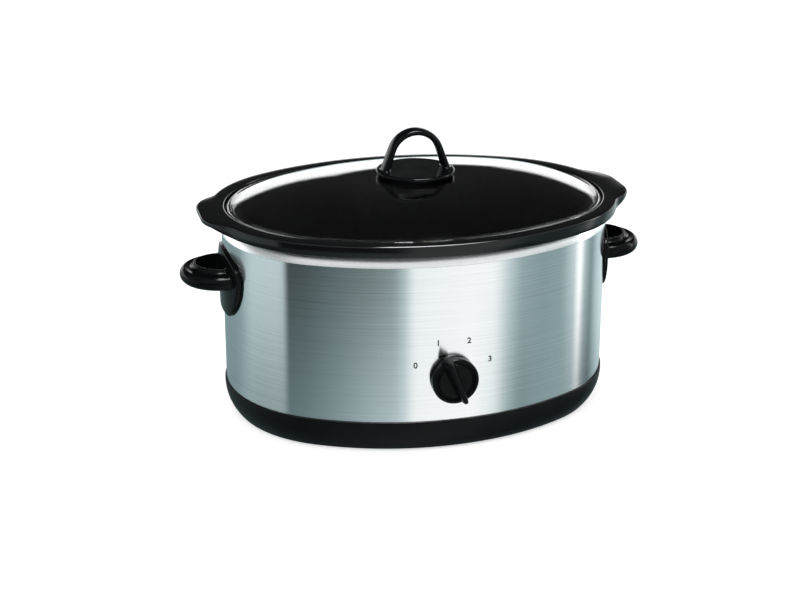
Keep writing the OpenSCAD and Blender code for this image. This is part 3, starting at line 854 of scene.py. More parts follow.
class Workshop:
    """What every sub-assembly builds with: the frame, the materials and the sweeper."""

    def __init__(self, loaded: dict[str, Any]) -> None:
        """Takes the loaded frame and builds what the sub-assemblies share.
        """
        self.rows: list[dict[str, Any]] = loaded["record"]["subparts"]
        self.nodes: dict[str, bpy.types.Object] = loaded["nodes"]
        masks = MaskGroups()
        self.materials = {finish.slot: finish.build(masks) for finish in FINISHES}
        self.sweeper = OvalSweeper(OVAL)
        self.seated: list[tuple[bpy.types.Object, Body]] = []

    def paint_nodes(self) -> None:
        """Gives every CAD node the procedural material of its slot in the record."""
        for row in self.rows:
            paint(self.nodes[row["node"]].data, self.materials[Slot(row["material_slot"])])

    def seat(self, piece: bpy.types.Object, body: Body, slot: Slot, *replaced: str) -> None:
        """Puts a finished piece on its body.

        Args:
            piece: the piece.
            body: the body it rides on.
            slot: the record's slot that its finish stands for; not used.
            *replaced: CAD nodes that it stands for.
        """
        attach(piece, body.value)
        if replaced:
            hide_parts(*replaced)
        self.seated.append((piece, body))

    def moulded(self, name: str, mesh: bpy.types.Mesh, slot: Slot, voxel: float,
                rounds: int) -> bpy.types.Object:
        """A moulding with soft edges and filleted joins, made from closed solids that overlap.

        Args:
            name: the piece's name.
            mesh: the solids.
            slot: the material's slot.
            voxel: size of the remesh, metres.
            rounds: rounds of smoothing, which set how soft the edges are.

        Returns:
            The piece, closed and smooth.
        """
        piece = new_object(name, mesh, self.materials[slot])
        skin = piece.modifiers.new("skin", "REMESH")
        skin.mode, skin.voxel_size, skin.use_smooth_shade = "VOXEL", voxel, True
        soft = piece.modifiers.new("soft", "SMOOTH")
        soft.factor, soft.iterations = 0.5, rounds
        evaluated(piece)
        tidy(piece.data, sharp=180.0)
        return piece

    def merged_copy(self, node: str) -> bpy.types.Mesh:
        """Copies a CAD node's mesh and merges its doubles.

        Args:
            node: the node's name.

        Returns:
            The copy.
        """
        mesh = self.nodes[node].data.copy()
        work = bmesh.new()
        work.from_mesh(mesh)
        bmesh.ops.remove_doubles(work, verts=work.verts, dist=MERGE)
        return as_mesh(work, mesh)


# --------------------------------------------------------------------------- heating base


@dataclass
class HeatingBase:
    """The skirt, the brushed wrap, the well with its bright shoulder, and the handles.

    Attributes:
        shop: what it builds with.
        skirt_top: height of the skirt's top edge.
        skirt_low: height of its lower edge.
        skirt_out: how far its lip stands out from the steel.
        bulge: radius of its bulging wall.
        bulge_z: height at which the wall is upright.
        wall: thickness of the skirt.
        lip: radius of its top edge.
        foot: radius of its lower edge.
        ledge: height of the ledge that carries the wrap.
        ledge_d: inner edge of that ledge.
        flange: section of the flange that carries the bottom cover.
        sheet: thickness of the sheet steel.
        wrap_top: height of the wrap's upper edge.
        shoulder: top of the rolled shoulder.
        roll_z: lower edge of the shoulder.
        roll_out: how far the shoulder stands out there.
        roll_r: radius of its convex outside.
        roll_lean: how far its hem leans, degrees.
        floor_z: height of the well's floor.
        floor_d: edge of that floor.
        well_r: radius between its floor and wall.
        slope: lean of its wall, degrees.
        cord_y: distance of the hole for the cord's bush from the long axis.
        cord_z: height of that hole.
        cord_r: radius of that hole.
        control_r: radius of the hole for the control.
        hem: radius of the well's inner top edge.
        cover_z: height of the bottom cover's face.
        screw_inset: distance of its screws from the steel's outline.
        screw_head: radius and height of a screw's head.
        screw_shank: length of a screw's shank.
    """

    shop: Workshop
    skirt_top: float = 0.032
    skirt_low: float = 0.0015
    skirt_out: float = 0.0014
    bulge: float = 0.040
    bulge_z: float = 0.029
    wall: float = 0.0026
    lip: float = 0.0007
    foot: float = 0.0007
    ledge: float = 0.027
    ledge_d: float = -0.0034
    flange: tuple[Point2, ...] = ((-0.0125, 0.0082), (-0.021, 0.0080), (-0.021, 0.0055),
                                  (-0.0125, 0.0054))
    sheet: float = 0.0008
    wrap_top: float = 0.1774
    shoulder: float = 0.1847
    roll_z: float = 0.1765
    roll_out: float = 0.0012
    roll_r: float = 0.026
    roll_lean: float = 15.0
    floor_z: float = 0.050
    floor_d: float = -0.06056
    well_r: float = 0.0415
    slope: float = 8.0
    cord_y: float = 0.134
    cord_z: float = 0.015
    cord_r: float = 0.0052
    control_r: float = 0.005
    hem: float = 0.0012
    cover_z: float = 0.0022
    screw_inset: float = 0.0165
    screw_head: Point2 = (0.0032, 0.0018)
    screw_shank: float = 0.009

    def build(self) -> None:
        """Builds and seats every piece of the base."""
        self.skirt()
        self.wrap()
        self.well()
        self.handles()
        self.cover_screws()

    def skirt(self) -> None:
        """The satin moulding under the steel, with its lip, ledge and flange."""
        centre = (self.skirt_out - self.bulge, self.bulge_z)
        low = -math.degrees(math.asin((self.bulge_z - self.skirt_low) / self.bulge))
        inner = self.bulge - self.wall
        inner_top = -math.degrees(math.acos((self.ledge_d - centre[0]) / inner))
        outer = arc(centre, self.bulge, low, 0.0, 28)
        foot_c = (outer[0][0] - 0.9 * self.wall / 2, outer[0][1] + 0.0006)
        lip_c = (self.skirt_out - self.lip, self.skirt_top - self.lip)
        profile = (
            # The lower edge, the bulging wall and the lip.
            arc(foot_c, self.foot, 250.0, 300.0, 3) + outer[1:]
            + arc(lip_c, self.lip, 0.0, 90.0, 5)
            # Down the steel to the ledge under it.
            + [(0.0001, self.skirt_top - 0.0002), (0.0001, self.ledge),
               (self.ledge_d, self.ledge)]
            # Back down inside, and round the flange.
            + arc(centre, inner, inner_top, low + 12.0, 12) + list(self.flange))
        skirt = self.shop.sweeper.sweep("skirt", profile, self.shop.materials[Slot.SKIRT],
                                        sharp=40.0)
        cord = Vector((0, OVAL.mid_y + self.cord_y, self.cord_z))
        cut(skirt, cord, ALONG_Y, self.cord_r, 0.03)
        tidy(skirt.data, sharp=40.0)
        self.shop.seat(skirt, Body.BASE, Slot.SKIRT, "base_skirt")

    def wrap(self) -> None:
        """The brushed sheet round the body, bored for the control."""
        edge = 0.0002
        profile = [(-self.sheet, self.ledge), (0.0, self.ledge), (0.0, self.wrap_top - edge),
                   (-edge, self.wrap_top), (-self.sheet, self.wrap_top)]
        wrap = self.shop.sweeper.sweep("wrap", profile, self.shop.materials[Slot.WRAP])
        cut(wrap, Vector((0, OVAL.front, KNOB_Z)), ALONG_Y, self.control_r, 0.02)
        tidy(wrap.data)
        self.shop.seat(wrap, Body.BASE, Slot.WRAP, "steel_wrap")

    def well(self) -> None:
        """The drawn pan, whose rim rolls over the wrap as a bright convex shoulder."""
        centre = (self.floor_d, self.floor_z + self.well_r)
        lean = math.radians(self.roll_lean)
        roll_c = (self.roll_out - self.roll_r * math.cos(lean),
                  self.roll_z - self.roll_r * math.sin(lean))

        def rise(radius: float, height: float) -> float:
            """Angle at which an arc about the roll's centre reaches a height."""
            return math.degrees(math.asin((height - roll_c[1]) / radius))

        inner = arc(centre, self.well_r, -90.0, -self.slope, 18)
        climb = self.shoulder - inner[-1][1]
        top_d = inner[-1][0] + climb * math.tan(math.radians(self.slope))
        under = self.shoulder - self.sheet
        inner_r = self.roll_r - self.sheet
        profile = (
            # The floor, the wall and the inner edge of the shoulder.
            [(self.floor_d - 0.006, self.floor_z)] + inner
            + arc((top_d + self.hem, self.shoulder - self.hem), self.hem, 175.0, 90.0, 5)
            # The convex shoulder, down to its hem against the wrap.
            + arc(roll_c, self.roll_r, rise(self.roll_r, self.shoulder - 0.0001),
                  self.roll_lean, 14)
            + [(self.roll_out - 0.0002, self.roll_z - 0.0003),
               (self.roll_out - 0.0006, self.roll_z - 0.0004), (0.0001, self.roll_z)]
            # Back up under the shoulder, over the wrap's edge.
            + arc(roll_c, inner_r, rise(inner_r, self.wrap_top + 0.0001),
                  rise(inner_r, under), 8)
            + [(top_d + 1.4 * self.sheet, under)]
            # The outside of the wall and floor.
            + arc(centre, self.well_r + self.sheet, -self.slope, -90.0, 18)
            + [(self.floor_d - 0.006, self.floor_z - self.sheet)])
        well = self.shop.sweeper.sweep("well", profile, self.shop.materials[Slot.WELL],
                                       closed=False)
        self.shop.seat(well, Body.BASE, Slot.WELL, "heating_well")

    def handles(self) -> None:
        """The two moulded side handles."""
        for side in ("left", "right"):
            handle = self.shop.moulded(f"{side}_handle_moulding",
                                       self.shop.merged_copy(f"{side}_handle"),
                                       Slot.HANDLE, voxel=0.0006, rounds=7)
            self.shop.seat(handle, Body.BASE, Slot.HANDLE, f"{side}_handle")

    def cover_screws(self) -> None:
        """Pan-head screws with a cross recess, set by rule round the bottom cover."""
        end, flank = Vector((OVAL.end_x, 0, 0)), Vector((0, -OVAL.side_centre, 0))
        lift = Vector((0, OVAL.mid_y, self.cover_z))
        posts = []
        for turn in (0.0, 180.0):
            half_turn = Matrix.Rotation(math.radians(turn), 3, "Z")
            for centre, radius, angle in ((end, OVAL.radius, 35.0), (end, OVAL.radius, -35.0),
                                          (flank, OVAL.side_radius, 103.0),
                                          (flank, OVAL.side_radius, 77.0)):
                a = math.radians(angle)
                out = Vector((math.cos(a), math.sin(a), 0))
                posts.append(half_turn @ (centre + (radius - self.screw_inset) * out) + lift)
        screws = ScrewRow(self.shop).place("cover_screw_set", posts, *self.screw_head,
                                           self.screw_shank)
        self.shop.seat(screws, Body.BASE, Slot.SCREW, "cover_screws")


class ScrewRow:
    """Geometry Nodes that put one screw at every point of a set."""

    HEAD = ((0.62, 0.0), (0.86, 0.12), (1.0, 0.45), (1.0, 1.0))  # shares of radius and height
    SHANK = 0.48  # shank's radius over the head's
    RECESS = (1.1, 0.24, 1.2)  # a slot's length and width over the radius, depth over the height
    SEED = 7

    def __init__(self, shop: Workshop) -> None:
        """Builds the tree.

        Args:
            shop: what it builds with.
        """
        self.shop = shop
        self.tree = bpy.data.node_groups.new("screw_row", "GeometryNodeTree")
        face = self.tree.interface
        for name, kind in (("Points", "NodeSocketGeometry"), ("Screw", "NodeSocketObject"),
                           ("Seed", "NodeSocketInt"), ("Material", "NodeSocketMaterial")):
            face.new_socket(name, in_out="INPUT", socket_type=kind)
        face.new_socket("Screws", in_out="OUTPUT", socket_type="NodeSocketGeometry")
        sheet = NodeSheet(self.tree)
        start = sheet.add("NodeGroupInput").outputs
        model = sheet.add("GeometryNodeObjectInfo", {"Object": start["Screw"]})
        turn = sheet.add("FunctionNodeRandomValue", {"Seed": start["Seed"]})
        angle = sheet.add("ShaderNodeCombineXYZ", {2: sheet.math(
            "MULTIPLY", turn.outputs[1], math.pi)})
        put = sheet.add("GeometryNodeInstanceOnPoints", {
            "Points": start["Points"], "Instance": model.outputs["Geometry"],
            "Rotation": angle.outputs[0]})
        real = sheet.add("GeometryNodeRealizeInstances", {"Geometry": put.outputs[0]})
        dressed = sheet.add("GeometryNodeSetMaterial", {"Geometry": real.outputs[0],
                                                        "Material": start["Material"]})
        sheet.add("NodeGroupOutput", {"Screws": dressed.outputs[0]})

    def screw(self, head_r: float, head_h: float, length: float) -> bpy.types.Object:
        """One screw with its head down, its recess in the head's face.

        Args:
            head_r: radius of the head.
            head_h: its height.
            length: length of the shank.

        Returns:
            The model that the tree repeats.
        """
        shank = self.SHANK * head_r
        rings = [(r * head_r, z * head_h) for r, z in self.HEAD]
        rings += [(shank, head_h), (shank, head_h + length)]
        mesh = turned("screw_model", rings, 24)
        tidy(mesh)
        model = new_object("screw_model", mesh)
        slot_x, slot_y, slot_z = self.RECESS
        size = Matrix.Diagonal((slot_x * head_r, slot_y * head_r, slot_z * head_h, 1.0))
        for turn in (0.0, math.pi / 2):
            work = bmesh.new()
            bmesh.ops.create_cube(work, size=1.0, matrix=Matrix.Rotation(turn, 4, "Z") @ size)
            subtract(model, as_mesh(work, bpy.data.meshes.new("driver")))
        return model

    def place(self, name: str, places: Sequence[Vector], head_r: float, head_h: float,
              length: float) -> bpy.types.Object:
        """Puts screws at the given places.

        Args:
            name: the piece's name.
            places: where each head's face is.
            head_r: radius of the head.
            head_h: its height.
            length: length of the shank.

        Returns:
            All the screws as one plain mesh.
        """
        model = self.screw(head_r, head_h, length)
        material = self.shop.materials[Slot.SCREW]
        row = new_object(name, mesh_from(name, places, []))
        nodes = row.modifiers.new("row", "NODES")
        nodes.node_group = self.tree
        fill_inputs(nodes, {"Screw": model, "Seed": self.SEED, "Material": material})
        evaluated(row)
        paint(row.data, material)
        bpy.data.objects.remove(model)
        tidy(row.data)
        return row


# --------------------------------------------------------------------------- control


@dataclass
class Control:
    """The knob and the printed figures of its dial.

    Attributes:
        shop: what it builds with.
        centre_z: height of the knob's centre.
        back: gap between knob and steel.
        disc_r: radius of the knob's disc.
        disc_t: its thickness.
        bar_h: height of the finger bar above the knob's back.
        bar_w: width of the bar near its pointed end.
        tail_w: its width at the blunt end.
        crest: half the width of its flat top.
        pointer: reach of its pointed end.
        point: length of the point beyond its shoulders.
        tail: reach of its blunt end.
        rest: angle of the pointer, clockwise from upright, degrees.
        dial_r: radius at which the figures stand.
        figure_h: height of a figure.
        stops: angle of each figure, clockwise from upright, degrees.
        font_ratio: font size over the height of a figure.
        stroke: how much bolder a figure is than its font.
        ink: half the thickness of a printed figure.
        ink_proud: how far its middle stands off the steel.
    """

    shop: Workshop
    centre_z: float = KNOB_Z
    back: float = 0.0012
    disc_r: float = 0.021
    disc_t: float = 0.008
    bar_h: float = 0.019
    bar_w: float = 0.0116
    tail_w: float = 0.0076
    crest: float = 0.0016
    pointer: float = 0.0242
    point: float = 0.0038
    tail: float = 0.0205
    rest: float = -22.5
    dial_r: float = 0.0368
    figure_h: float = 0.0054
    stops: tuple[float, ...] = (-67.5, -22.5, 22.5, 67.5)
    font_ratio: float = 1.38
    stroke: float = 0.00018
    ink: float = 0.00012
    ink_proud: float = 0.00004

    def build(self) -> None:
        """Builds and seats the knob and the figures."""
        self.knob()
        self.figures()

    def _onto_axis(self) -> Matrix:
        """Finds what turns a knob drawn face up, pointer to +Y, into its place.

        Returns:
            The matrix that puts it on the front.
        """
        place = Matrix.Translation((0, OVAL.front - self.back, self.centre_z))
        return place @ Matrix.Rotation(math.pi / 2, 4, "X") @ Matrix.Rotation(
            math.radians(-self.rest), 4, "Z")

    def _disc(self) -> bpy.types.Mesh:
        """The round body: a rolled outer ring, a groove and a faintly dished face.

        Returns:
            Its mesh, face up.
        """
        r, t = self.disc_r, self.disc_t
        rings = (
            # The hollow back and its rim.
            [(0.0, 0.0012), (r - 0.0032, 0.0012), (r - 0.003, 0.0), (r - 0.0006, 0.0),
             (r, 0.0008)]
            # The rolled outer ring.
            + arc((r - 0.0017, t - 0.0017), 0.0017, 0.0, 90.0, 8)
            + [(r - 0.0026, t)] + arc((r - 0.0032, t - 0.0007), 0.0009, 50.0, 0.0, 3)
            # The groove inside it.
            + arc((r - 0.0044, t - 0.0010), 0.0009, 330.0, 200.0, 6)
            # The face, a little dished.
            + [(r - 0.0062, t - 0.0006), (r - 0.0085, t - 0.0009),
               (r - 0.013, t - 0.0016), (0.0, t - 0.0018)])
        mesh = turned("knob_disc", rings, 96)
        tidy(mesh, sharp=50.0)
        return mesh

    def _bar(self) -> bpy.types.Mesh:
        """The finger bar: a ridge with leaning flanks, one end pointed and one blunt.

        Returns:
            Its mesh, face up with the pointed end to +Y.
        """
        narrow, wide = self.tail_w / 2, self.bar_w / 2
        shoulder = self.pointer - self.point

        def half(y: float) -> float:
            """Half the bar's width at a place along it."""
            share = (y + self.tail) / (shoulder + self.tail)
            return narrow + (wide - narrow) * min(share, 1.0)

        # Each station is its place along the bar, its share of the width and of the height.
        stations = [(-self.tail, 0.30, 0.62), (-self.tail + 0.0005, 0.62, 0.84),
                    (-self.tail + 0.0016, 0.88, 0.94), (-self.tail + 0.004, 1.0, 0.985),
                    (-0.010, 1.0, 1.0), (0.0, 1.0, 1.0), (0.010, 1.0, 1.0),
                    (shoulder - 0.0012, 1.0, 0.995), (shoulder, 0.98, 0.99),
                    (shoulder + 0.0007, 0.90, 0.985), (self.pointer - 0.0010, 0.42, 0.965),
                    (self.pointer - 0.0003, 0.24, 0.95), (self.pointer, 0.10, 0.93)]
        rings = []
        for y, share, tall in stations:
            w, h = half(y) * share, self.bar_h * tall
            crest = min(self.crest, 0.40 * w)
            side = [(w, 0.003), (w, 0.0045), (w * 0.97, 0.0062), (w * 0.84, h * 0.70),
                    (crest + 0.45 * (w - crest) * 0.5, h * 0.93), (crest, h * 0.985),
                    (crest * 0.5, h)]
            rings.append([(x, y, z) for x, z in side + [(-x, z) for x, z in reversed(side)]])
        return loft("knob_bar", rings)

    def knob(self) -> None:
        """The knob: its disc and its finger bar, in one piece."""
        bar = new_object("bar", self._bar())
        tidy(bar.data, sharp=180.0)
        soft = bar.modifiers.new("soft", "SUBSURF")
        soft.levels = soft.render_levels = 2
        evaluated(bar)
        work = bmesh.new()
        work.from_mesh(self._disc())
        work.from_mesh(bar.data)
        work.transform(self._onto_axis())
        mesh = as_mesh(work, bpy.data.meshes.new("knob_moulding"))
        bpy.data.objects.remove(bar)
        knob = new_object("knob_moulding", mesh, self.shop.materials[Slot.KNOB])
        for face in mesh.polygons:
            face.use_smooth = True
        mesh.set_sharp_from_angle(angle=math.radians(50))
        self.shop.seat(knob, Body.CONTROL, Slot.KNOB, "knob")

    def figures(self) -> None:
        """The plain figures 0 to 3 round the dial, printed on the curved steel."""
        work = bmesh.new()
        for figure, angle in zip("0123", self.stops):
            curve = bpy.data.curves.new("figure", "FONT")
            curve.body, curve.size = figure, self.figure_h * self.font_ratio
            curve.align_x, curve.align_y = "CENTER", "CENTER"
            curve.extrude, curve.offset = self.ink, self.stroke
            text = new_object("figure", curve)
            graph = bpy.context.evaluated_depsgraph_get()
            flat = bpy.data.meshes.new_from_object(text.evaluated_get(graph))
            a = math.radians(angle)
            flat.transform(Matrix.Translation(
                (self.dial_r * math.sin(a), self.dial_r * math.cos(a), 0)))
            work.from_mesh(flat)
            bpy.data.objects.remove(text)
        bmesh.ops.remove_doubles(work, verts=work.verts, dist=MERGE / 10)
        for vert in work.verts:
            x, up, lift = vert.co
            proud = self.ink_proud + max(lift, -2 * self.ink_proud)
            vert.co = (x, OVAL.on_front(x, proud), self.centre_z + up)
        bmesh.ops.recalc_face_normals(work, faces=work.faces)
        mesh = as_mesh(work, bpy.data.meshes.new("dial_figures"))
        figures = new_object("dial_figures", mesh, self.shop.materials[Slot.INK])
        self.shop.seat(figures, Body.BASE, Slot.WRAP)


# --------------------------------------------------------------------------- crock


@dataclass
class Crock:
    """The lift-out stoneware crock, whose rim grows a grip lobe at each end.

    Attributes:
        shop: what it builds with.
        rim: height of the rim's top.
        low: height of the rim's underside.
        seat: height of the ledge that carries the lid.
        rim_d: overhang of the rim beyond the steel.
        low_d: overhang of its underside.
        lip_d: inner edge of the rim's flat top.
        wall: thickness of the stoneware.
        slope: lean of the wall, degrees.
        corner: inside radius between wall and floor.
        floor: height of the cooking floor.
        seat_d: inner edge of the lid's ledge.
        lobe_x: reach of a lobe from the middle.
        lobe_r: radius of its corners.
        lobe_y: distance of their centres from the long axis.
        blend: radius that joins a lobe to the rim.
        lobe_grown: extra overhang at which a lobe has its full thinness.
        rim_t: thickness of the rim's edge between the lobes.
        lobe_thin: how much thinner a lobe's edge is.
        foot_drop: height of the foot ring under the floor.
    """

    shop: Workshop
    rim: float = 0.199
    low: float = 0.185
    seat: float = SEAT_Z
    rim_d: float = 0.010
    low_d: float = 0.0016
    lip_d: float = -0.0021
    wall: float = 0.008
    slope: float = 8.0
    corner: float = 0.030
    floor: float = 0.066
    seat_d: float = -0.016
    lobe_x: float = 0.2015
    lobe_r: float = 0.040
    lobe_y: float = 0.013
    blend: float = 0.024
    lobe_grown: float = 0.010
    rim_t: float = 0.0112
    lobe_thin: float = 0.0060
    foot_drop: float = 0.004

    def build(self) -> None:
        """Builds and seats the crock."""
        stations = OVAL.stations()
        points = [point + out * d + Vector((0, 0, z)) for point, out in stations
                  for d, z in self._section(self._extra(out))]
        size, count = len(self._section(0.0)), len(stations)
        faces = [(i * size + k, ((i + 1) % count) * size + k,
                  ((i + 1) % count) * size + k + 1, i * size + k + 1)
                 for i in range(count) for k in range(size - 1)]
        mesh = mesh_from("crock_glazed", points, faces)
        tidy(mesh, sharp=42.0)
        crock = new_object("crock_glazed", mesh, self.shop.materials[Slot.CROCK])
        self.shop.seat(crock, Body.CROCK, Slot.CROCK, "crock")

    def _extra(self, out: Vector) -> float:
        """How far the lobe's outline stands beyond the rim's along a normal.

        Args:
            out: outward normal of a point on the steel body's outline.

        Returns:
            The extra overhang there, 0 where there is no lobe.
        """
        if abs(out.y) > math.sin(math.radians(OVAL.join)) - 1e-6:
            return 0.0
        angle = math.atan2(abs(out.y), abs(out.x))
        ray = Vector((math.cos(angle), math.sin(angle)))
        rim_r = OVAL.radius + self.rim_d
        # From the end's centre: the middle of the lobe's corner arc, and of the blend arc.
        corner = Vector((self.lobe_x - self.lobe_r - OVAL.end_x, self.lobe_y))
        reach_a, reach_b = rim_r + self.blend, self.lobe_r + self.blend
        span = corner.length
        along = (reach_a ** 2 - reach_b ** 2 + span ** 2) / (2 * span)
        unit = corner / span
        off = math.sqrt(reach_a ** 2 - along ** 2)
        joint = unit * along + Vector((-unit.y, unit.x)) * off
        if angle >= math.atan2(joint.y, joint.x):
            return 0.0
        tangent = joint + (corner - joint) * (self.blend / (self.lobe_r + self.blend))
        if angle > math.atan2(tangent.y, tangent.x):
            mid, radius, near = joint, self.blend, True
        else:
            mid, radius, near = corner, self.lobe_r, False
        # Where the ray meets that arc, or the straight end between the two corners.
        dot = ray.dot(mid)
        root = math.sqrt(max(radius ** 2 - mid.length_squared + dot ** 2, 0.0))
        reach = dot - root if near else dot + root
        flat = (self.lobe_x - OVAL.end_x) / max(math.cos(angle), 0.2)
        if not near and ray.y * flat < self.lobe_y:
            reach = flat
        return max(reach - rim_r, 0.0)

    def _section(self, grown: float) -> list[Point2]:
        """The crock's section as an open line from the inside floor to the outside floor.

        Args:
            grown: how much further than the plain rim the section reaches.

        Returns:
            Points as (distance outside the steel body, height).
        """
        lean = math.tan(math.radians(self.slope))
        cosine = math.cos(math.radians(self.slope))
        corner_z = self.floor + self.corner
        corner_d = self.seat_d - (self.seat - corner_z) * lean - self.corner / cosine
        share = min(grown / self.lobe_grown, 1.0)
        edge = self.rim_d + grown
        foot = (self.low_d + 0.0010, self.low + 0.0022 + 0.0020 * share)
        under_z = self.rim - self.rim_t + self.lobe_thin * share
        face = arc((edge - 0.0016, under_z + 0.0012), 0.0012, 0.0, -80.0, 5)
        bottom = face[-1]
        under = [(bottom[0] + (foot[0] - bottom[0]) * t, bottom[1] + (foot[1] - bottom[1]) * t)
                 for t in (0.25, 0.5, 0.75)]
        rest_d = self.seat_d - (self.seat - self.low) * lean + self.wall / cosine
        base = self.floor - self.wall
        tread = base - self.foot_drop
        return (
            # The cooking floor, the wall and the ledge that carries the lid.
            [(corner_d - 0.006, self.floor)]
            + arc((corner_d, corner_z), self.corner, -90.0, -self.slope, 16)
            + arc((self.seat_d - 0.002, self.seat - 0.002), 0.002, 0.0, 90.0, 5)[1:]
            # Up to the rim, across its flat top and round its outer edge.
            + [(self.lip_d - 0.0032, self.seat)]
            + arc((self.lip_d - 0.0034, self.seat + 0.0012), 0.0012, 290.0, 340.0, 3)
            + [(self.lip_d - 0.0012, self.rim - 0.0022)]
            + arc((self.lip_d + 0.0004, self.rim - 0.0016), 0.0016, 165.0, 90.0, 5)
            + [(0.0, self.rim), (0.004, self.rim)]
            + arc((edge - 0.0018, self.rim - 0.0018), 0.0018, 90.0, 0.0, 6)
            # Down the edge, and in under the rim to where it sits on the steel.
            + face + under + [foot]
            + [(self.low_d + 0.0004, self.low + 0.0010), (self.low_d - 0.0004, self.low + 0.0002),
               (self.low_d - 0.0012, self.low), (rest_d + 0.001, self.low),
               (rest_d, self.low - 0.001)]
            # The outside of the wall, and the foot ring.
            + arc((corner_d, corner_z), self.corner + self.wall, -self.slope, -90.0, 16)
            + [(corner_d - 0.0025, base), (corner_d - 0.004, base - 0.0003),
               (corner_d - 0.0045, tread + 0.0005), (corner_d - 0.0055, tread),
               (corner_d - 0.0105, tread), (corner_d - 0.0115, tread + 0.0005),
               (corner_d - 0.012, base)])


# --------------------------------------------------------------------------- lid


@dataclass
class Lid:
    """The domed glass lid and its moulded handle.

    Attributes:
        shop: what it builds with.
        glass_d: outer edge of the glass.
        bead: radius of the rolled edge.
        seat: height of the crock's ledge.
        gap: clearance over the ledge.
        dome: height of the glass in the middle.
        glass: thickness of the dome.
        crown_d: where the dome turns flat.
        skirt_d: where the dome meets the rolled edge.
        rise: height of the dome over that.
        bore: radius of the hole for the handle's boss.
        disc_z: underside of the handle's disc.
        disc_t: thickness of the disc.
        disc_r: radius of the disc.
        arch_top: height of the arch.
        arch_r: outside radius of the arch.
        arch_t: thickness of the arch.
        arch_w: width of the arch.
        arch_lean: lean of its legs, degrees.
        foot_x: distance of a leg's foot from the middle.
        arch_spread: how much a leg thickens to its foot, on each side.
        arch_round: how round its section is, 1 for an ellipse.
        arch_count: points round its section.
    """

    shop: Workshop
    glass_d: float = -0.0056
    bead: float = 0.0024
    seat: float = SEAT_Z
    gap: float = 0.0003
    dome: float = 0.220
    glass: float = 0.004
    crown_d: float = -0.108
    skirt_d: float = -0.0155
    rise: float = 0.019
    bore: float = 0.0042
    disc_z: float = 0.222
    disc_t: float = 0.004
    disc_r: float = 0.0364
    arch_top: float = 0.264
    arch_r: float = 0.0265
    arch_t: float = 0.0064
    arch_w: float = 0.015
    arch_lean: float = 18.0
    foot_x: float = 0.0296
    arch_spread: float = 0.0004
    arch_round: float = 0.72
    arch_count: int = 28

    def build(self) -> None:
        """Builds and seats the glass and the handle."""
        self.pane()
        self.grip()

    def _arch(self) -> bpy.types.Mesh:
        """The arch: a band of rounded section, bent over and let down into the disc.

        Returns:
            Its mesh, open at both feet.
        """
        bend = self.arch_r - self.arch_t / 2
        over = arc((0.0, self.arch_top - self.arch_r), bend, 180 - self.arch_lean,
                   self.arch_lean, 40)
        end_x, end_z = over[-1]
        foot = self.disc_z + 0.4 * self.disc_t
        down = [(self.foot_x + (end_x - self.foot_x) * t, foot + (end_z - foot) * t)
                for t in (i / 8 for i in range(8))]
        path = [Vector((x, 0, z)) for x, z in
                [(-x, z) for x, z in down] + over + list(reversed(down))]
        turns = [2 * math.pi * k / self.arch_count for k in range(self.arch_count)]
        rings = []
        for i, point in enumerate(path):
            along = (path[min(i + 1, len(path) - 1)] - path[max(i - 1, 0)]).normalized()
            out = Vector((-along.z, 0, along.x))
            low = max(1.0 - (point.z - foot) / (end_z - foot), 0.0)
            thick = self.arch_t / 2 + self.arch_spread * low
            rings.append([point + out * (self._squared(math.cos(a)) * thick)
                          + ALONG_Y * (self._squared(math.sin(a)) * self.arch_w / 2)
                          for a in turns])
        return loft("arch", rings)

    def _squared(self, share: float) -> float:
        """Pushes a sine or cosine outwards, which squares up an ellipse."""
        return math.copysign(abs(share) ** self.arch_round, share)

    def _disc(self) -> bpy.types.Mesh:
        """The disc with its boss: flat on top, with a full round edge.

        Returns:
            Its mesh.
        """
        r, z, t = self.disc_r, self.disc_z, self.disc_t
        boss, stud = self.bore - 0.0002, 0.0021
        return turned("disc", [
            (stud, z + 0.0005), (stud, self.dome - self.glass), (boss, self.dome - self.glass),
            (boss, z), (r - 0.0012, z)]
            + arc((r - 0.0019, z + t - 0.0019), 0.0019, -30.0, 90.0, 10)
            + [(r - 0.004, z + t), (r - 0.012, z + t), (0.0, z + t), (0.0, z + 0.0005)], 128)

    def grip(self) -> None:
        """The handle: the arch and the disc, filleted together in one moulding."""
        work = bmesh.new()
        for mesh in (self._arch(), self._disc()):
            tidy(mesh)
            work.from_mesh(mesh)
        work.transform(Matrix.Translation((0, OVAL.mid_y, 0)))
        mesh = as_mesh(work, bpy.data.meshes.new("lid_grip"))
        handle = self.shop.moulded("lid_grip", mesh, Slot.GRIP, voxel=0.0005,
                                   rounds=5)
        self.shop.seat(handle, Body.LID, Slot.GRIP, "lid_handle")

    def _close(self, work: bmesh.types.BMesh) -> None:
        """Closes the crown with a flat face round the bore, above and below.

        Args:
            work: the pane's bmesh, open at the crown, changed in place.
        """
        loops: dict[float, list[Any]] = {}
        for edge in [e for e in work.edges if e.is_boundary]:
            loops.setdefault(round(edge.verts[0].co.z, 4), []).append(edge)
        count = 48
        turns = [2 * math.pi * k / count for k in range(count)]
        rings = []
        for _, edges in sorted(loops.items()):
            ring = [work.verts.new((self.bore * math.cos(a),
                                    OVAL.mid_y + self.bore * math.sin(a),
                                    edges[0].verts[0].co.z)) for a in turns]
            inner = [work.edges.new((ring[k], ring[(k + 1) % count])) for k in range(count)]
            bmesh.ops.triangle_fill(work, edges=edges + inner, use_beauty=True)
            rings.append(ring)
        if len(rings) == 2:
            low, high = rings
            for k in range(count):
                j = (k + 1) % count
                work.faces.new((low[k], low[j], high[j], high[k]))

